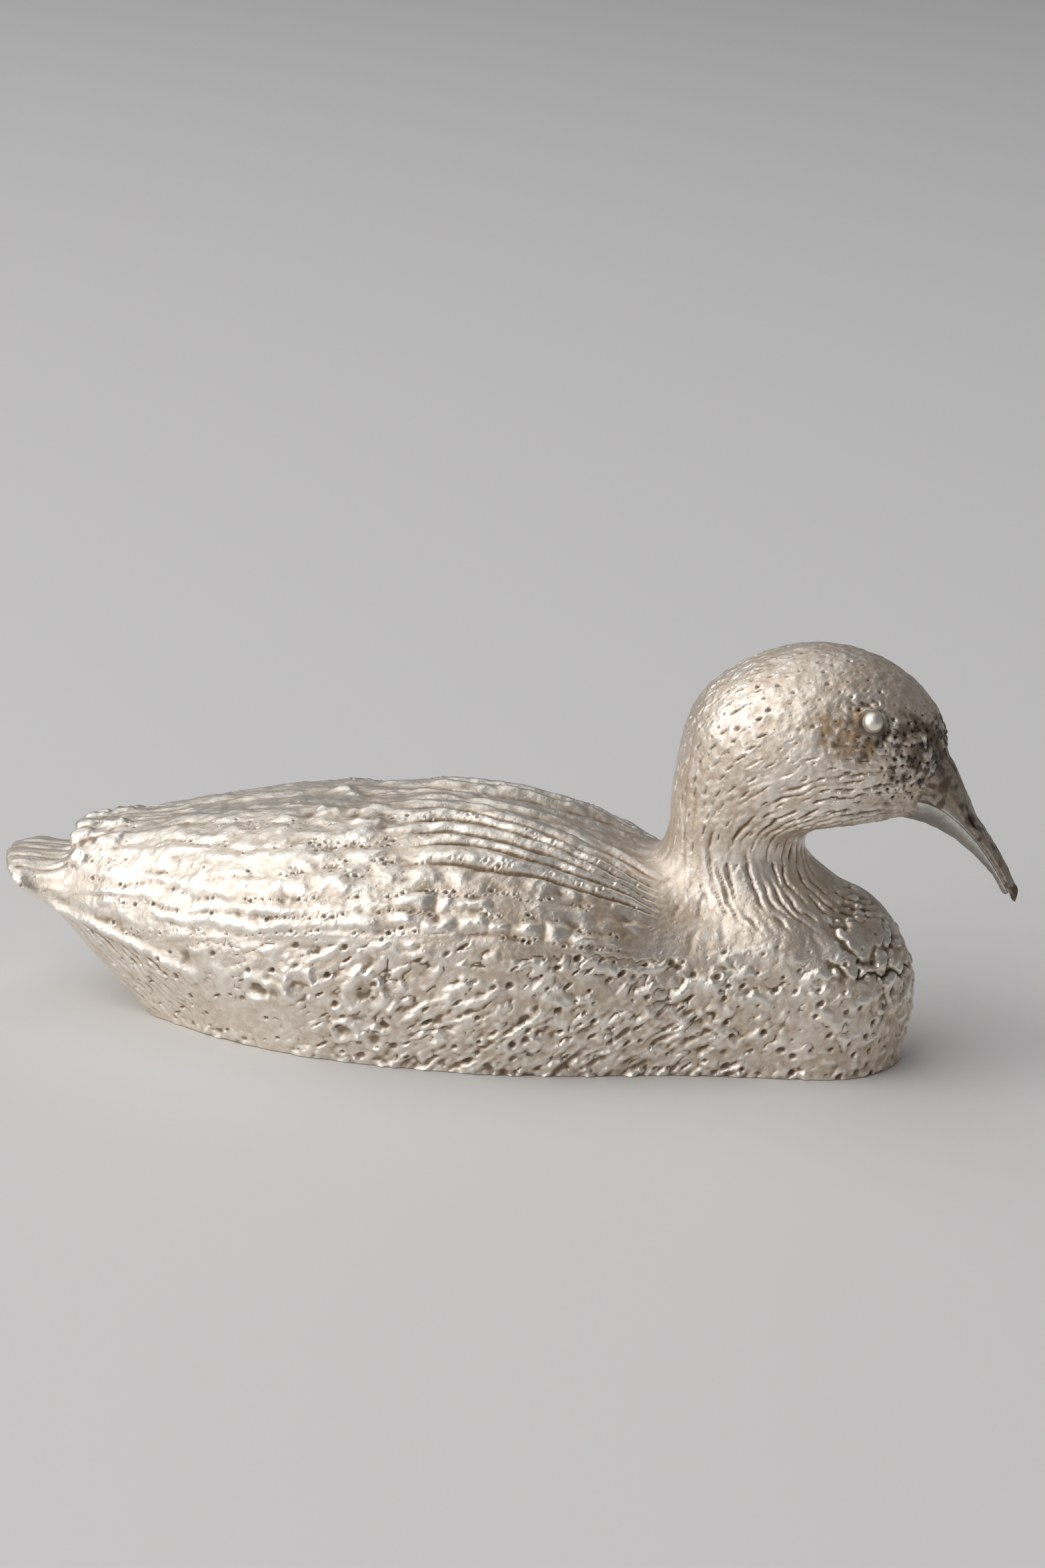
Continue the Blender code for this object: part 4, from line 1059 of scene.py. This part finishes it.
# fine cast grain and tiny blow holes
def castGrainGroup():
    group, given, result = newGroup("castGrain", {"Grain": 0.3, "Scale": 2600.0}, {"Normal": "Vector"})
    place = add(group, "TexCoord").outputs["Object"]
    grain = add(group, "TexNoise", Vector=place, Scale=given["Scale"], Detail=4.0, Roughness=0.7).outputs[0]
    holes = add(group, "TexVoronoi", Vector=place, Scale=1300.0).outputs["Distance"]
    holes = ramp(group, holes, 0.05, 0.3)
    height = maths(group, "ADD", grain, maths(group, "MULTIPLY", holes, 0.5))
    bump = add(group, "Bump", Strength=given["Grain"], Distance=0.0002, Height=height).outputs[0]
    group.links.new(bump, result["Normal"])
    return group


agedSilver, castGrain = agedSilverGroup(), castGrainGroup()
finishes = {                 # without a tarnish value of its own, a finish takes the skin's mask, which is partly painted shade
    "hullSilver": {"Grain": 0.3},
    "backSilver": {"Grain": 0.3},
    "wingSilver": {"Grain": 0.3},
    "tailSilver": {"Grain": 0.3},
    "headSilver": {"Grain": 0.3},
    "billSilver": {"Tarnish_and_shade": 0.9, "Grain": 0.35,
                   "Bright": (0.72, 0.66, 0.58, 1), "Dull": (0.4, 0.32, 0.24, 1)},
    "frostedSilver": {"Tarnish_and_shade": 0.75, "Grain": 0.6, "Polish": 0.45,
                      "Bright": (0.62, 0.6, 0.56, 1), "Dull": (0.36, 0.33, 0.29, 1)},
    "eyeSilver": {"Tarnish_and_shade": 0.3, "Grain": 0.2, "Polish": 0.42},
    "plateSilver": {"Tarnish_and_shade": 1.0, "Grain": 0.4, "Dull": (0.45, 0.39, 0.33, 1)},
}


def silverMaterial(name):
    material = bpy.data.materials.new(name)
    material.use_nodes = True
    nodeTree = material.node_tree
    shader = nodeTree.nodes["Principled BSDF"]
    aged = add(nodeTree, "Group", {"node_tree": agedSilver})
    grain = add(nodeTree, "Group", {"node_tree": castGrain})
    for label in ("Recess", "Crest", "Dirt_and_shade", "Ochre", "Soot_and_shade", "Tarnish_and_shade"):
        if label not in finishes[name]:
            mask = add(nodeTree, "Attribute", {"attribute_name": label.lower()})
            nodeTree.links.new(mask.outputs["Fac"], aged.inputs[label])
    for label, value in finishes[name].items():
        (grain if label in grain.inputs else aged).inputs[label].default_value = value
    nodeTree.links.new(aged.outputs["Colour"], shader.inputs["Base Color"])
    nodeTree.links.new(aged.outputs["Roughness"], shader.inputs["Roughness"])
    nodeTree.links.new(aged.outputs["Metal"], shader.inputs["Metallic"])
    nodeTree.links.new(grain.outputs["Normal"], shader.inputs["Normal"])
    return material


materials = {name: silverMaterial(name) for name in finishes}
dressed = (
    (hull, "lower_hull", "hull_silver", "hullSilver"),
    (breastHead, "head_and_neck", "head_silver", "headSilver"),
    (back, "upper_back", "back_silver", "backSilver"),
    (rightWing, "right_wing", "wing_silver", "wingSilver"),
    (leftWing, "left_wing", "wing_silver", "wingSilver"),
    (tailFan, "tail_fan", "tail_silver", "tailSilver"),
    (upperBill, "upper_bill", "bill_silver", "billSilver"),
    (lowerBill, "lower_bill", "bill_silver", "frostedSilver"),
    (rightEye, "right_eye", "eye_silver", "eyeSilver"),
    (leftEye, "left_eye", "eye_silver", "eyeSilver"),
    (basePlate, "base_plate", "plate_silver", "plateSilver"),
)
for piece, node, slot, finish in dressed:
    piece.data.materials.clear()
    piece.data.materials.append(materials[finish])
    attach(piece, "root")
    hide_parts(node)
print("pieces dressed:", len(dressed))

# floor, light and camera, in metres
studio = {
    "floorColour": (0.8, 0.79, 0.78, 1), "floorRoughness": 0.6, "floorSize": 8.0, "floorDrop": 0.0001,
    "worldColour": (0.17, 0.17, 0.175, 1),
    # each lamp: place, size and watts
    "lamps": (("keyLamp", (-0.92, -0.86, 0.72), 2.1, 20.5), ("topLamp", (-0.5, 0.2, 0.95), 1.5, 5.2)),
    "aim": (0.0, 0.0, 0.02),
    "lens": 122.45, "sensor": 36.0,  # these two in millimetres
    "cameraPlace": (0.09209836, -0.59549289, 0.19195174),
    "cameraRight": (0.98605426, 0.1614227, 0.04049319),
    "cameraUp": (-0.08064691, 0.25063233, 0.96471732),
}


def studioFloor():
    half = studio["floorSize"] / 2
    mesh = bpy.data.meshes.new("paleFloor")
    corners = [(-half, -half, 0), (half, -half, 0), (half, half, 0), (-half, half, 0)]
    mesh.from_pydata(corners, [], [(0, 1, 2, 3)])
    material = bpy.data.materials.new("paleFloor")
    material.use_nodes = True
    shader = material.node_tree.nodes["Principled BSDF"]
    shader.inputs["Base Color"].default_value = studio["floorColour"]
    shader.inputs["Roughness"].default_value = studio["floorRoughness"]
    mesh.materials.append(material)
    floor = addObject("paleFloor", mesh)
    floor.location.z = -studio["floorDrop"]


def studioLight():
    world = bpy.data.worlds.new("studio")
    world.use_nodes = True
    world.node_tree.nodes["Background"].inputs["Color"].default_value = studio["worldColour"]
    scene.world = world
    for name, place, size, power in studio["lamps"]:
        lamp = bpy.data.lights.new(name, "AREA")
        lamp.size, lamp.energy = size, power
        obj = addObject(name, lamp)
        obj.location = place
        obj.rotation_euler = (Vector(studio["aim"]) - Vector(place)).to_track_quat("-Z", "Y").to_euler()


def photoCamera():
    camera = bpy.data.cameras.new("photoCamera")
    camera.lens, camera.sensor_width, camera.sensor_fit = studio["lens"], studio["sensor"], "AUTO"
    camera.clip_start = 0.01
    camera.dof.use_dof = False
    obj = addObject("photoCamera", camera)
    right, up = Vector(studio["cameraRight"]), Vector(studio["cameraUp"])
    turn = Matrix((right, up, right.cross(up))).transposed().to_4x4()
    obj.matrix_world = Matrix.Translation(studio["cameraPlace"]) @ turn
    scene.camera = obj


studioFloor()
studioLight()
photoCamera()
scene.view_settings.view_transform = "Standard"
print("studio set")
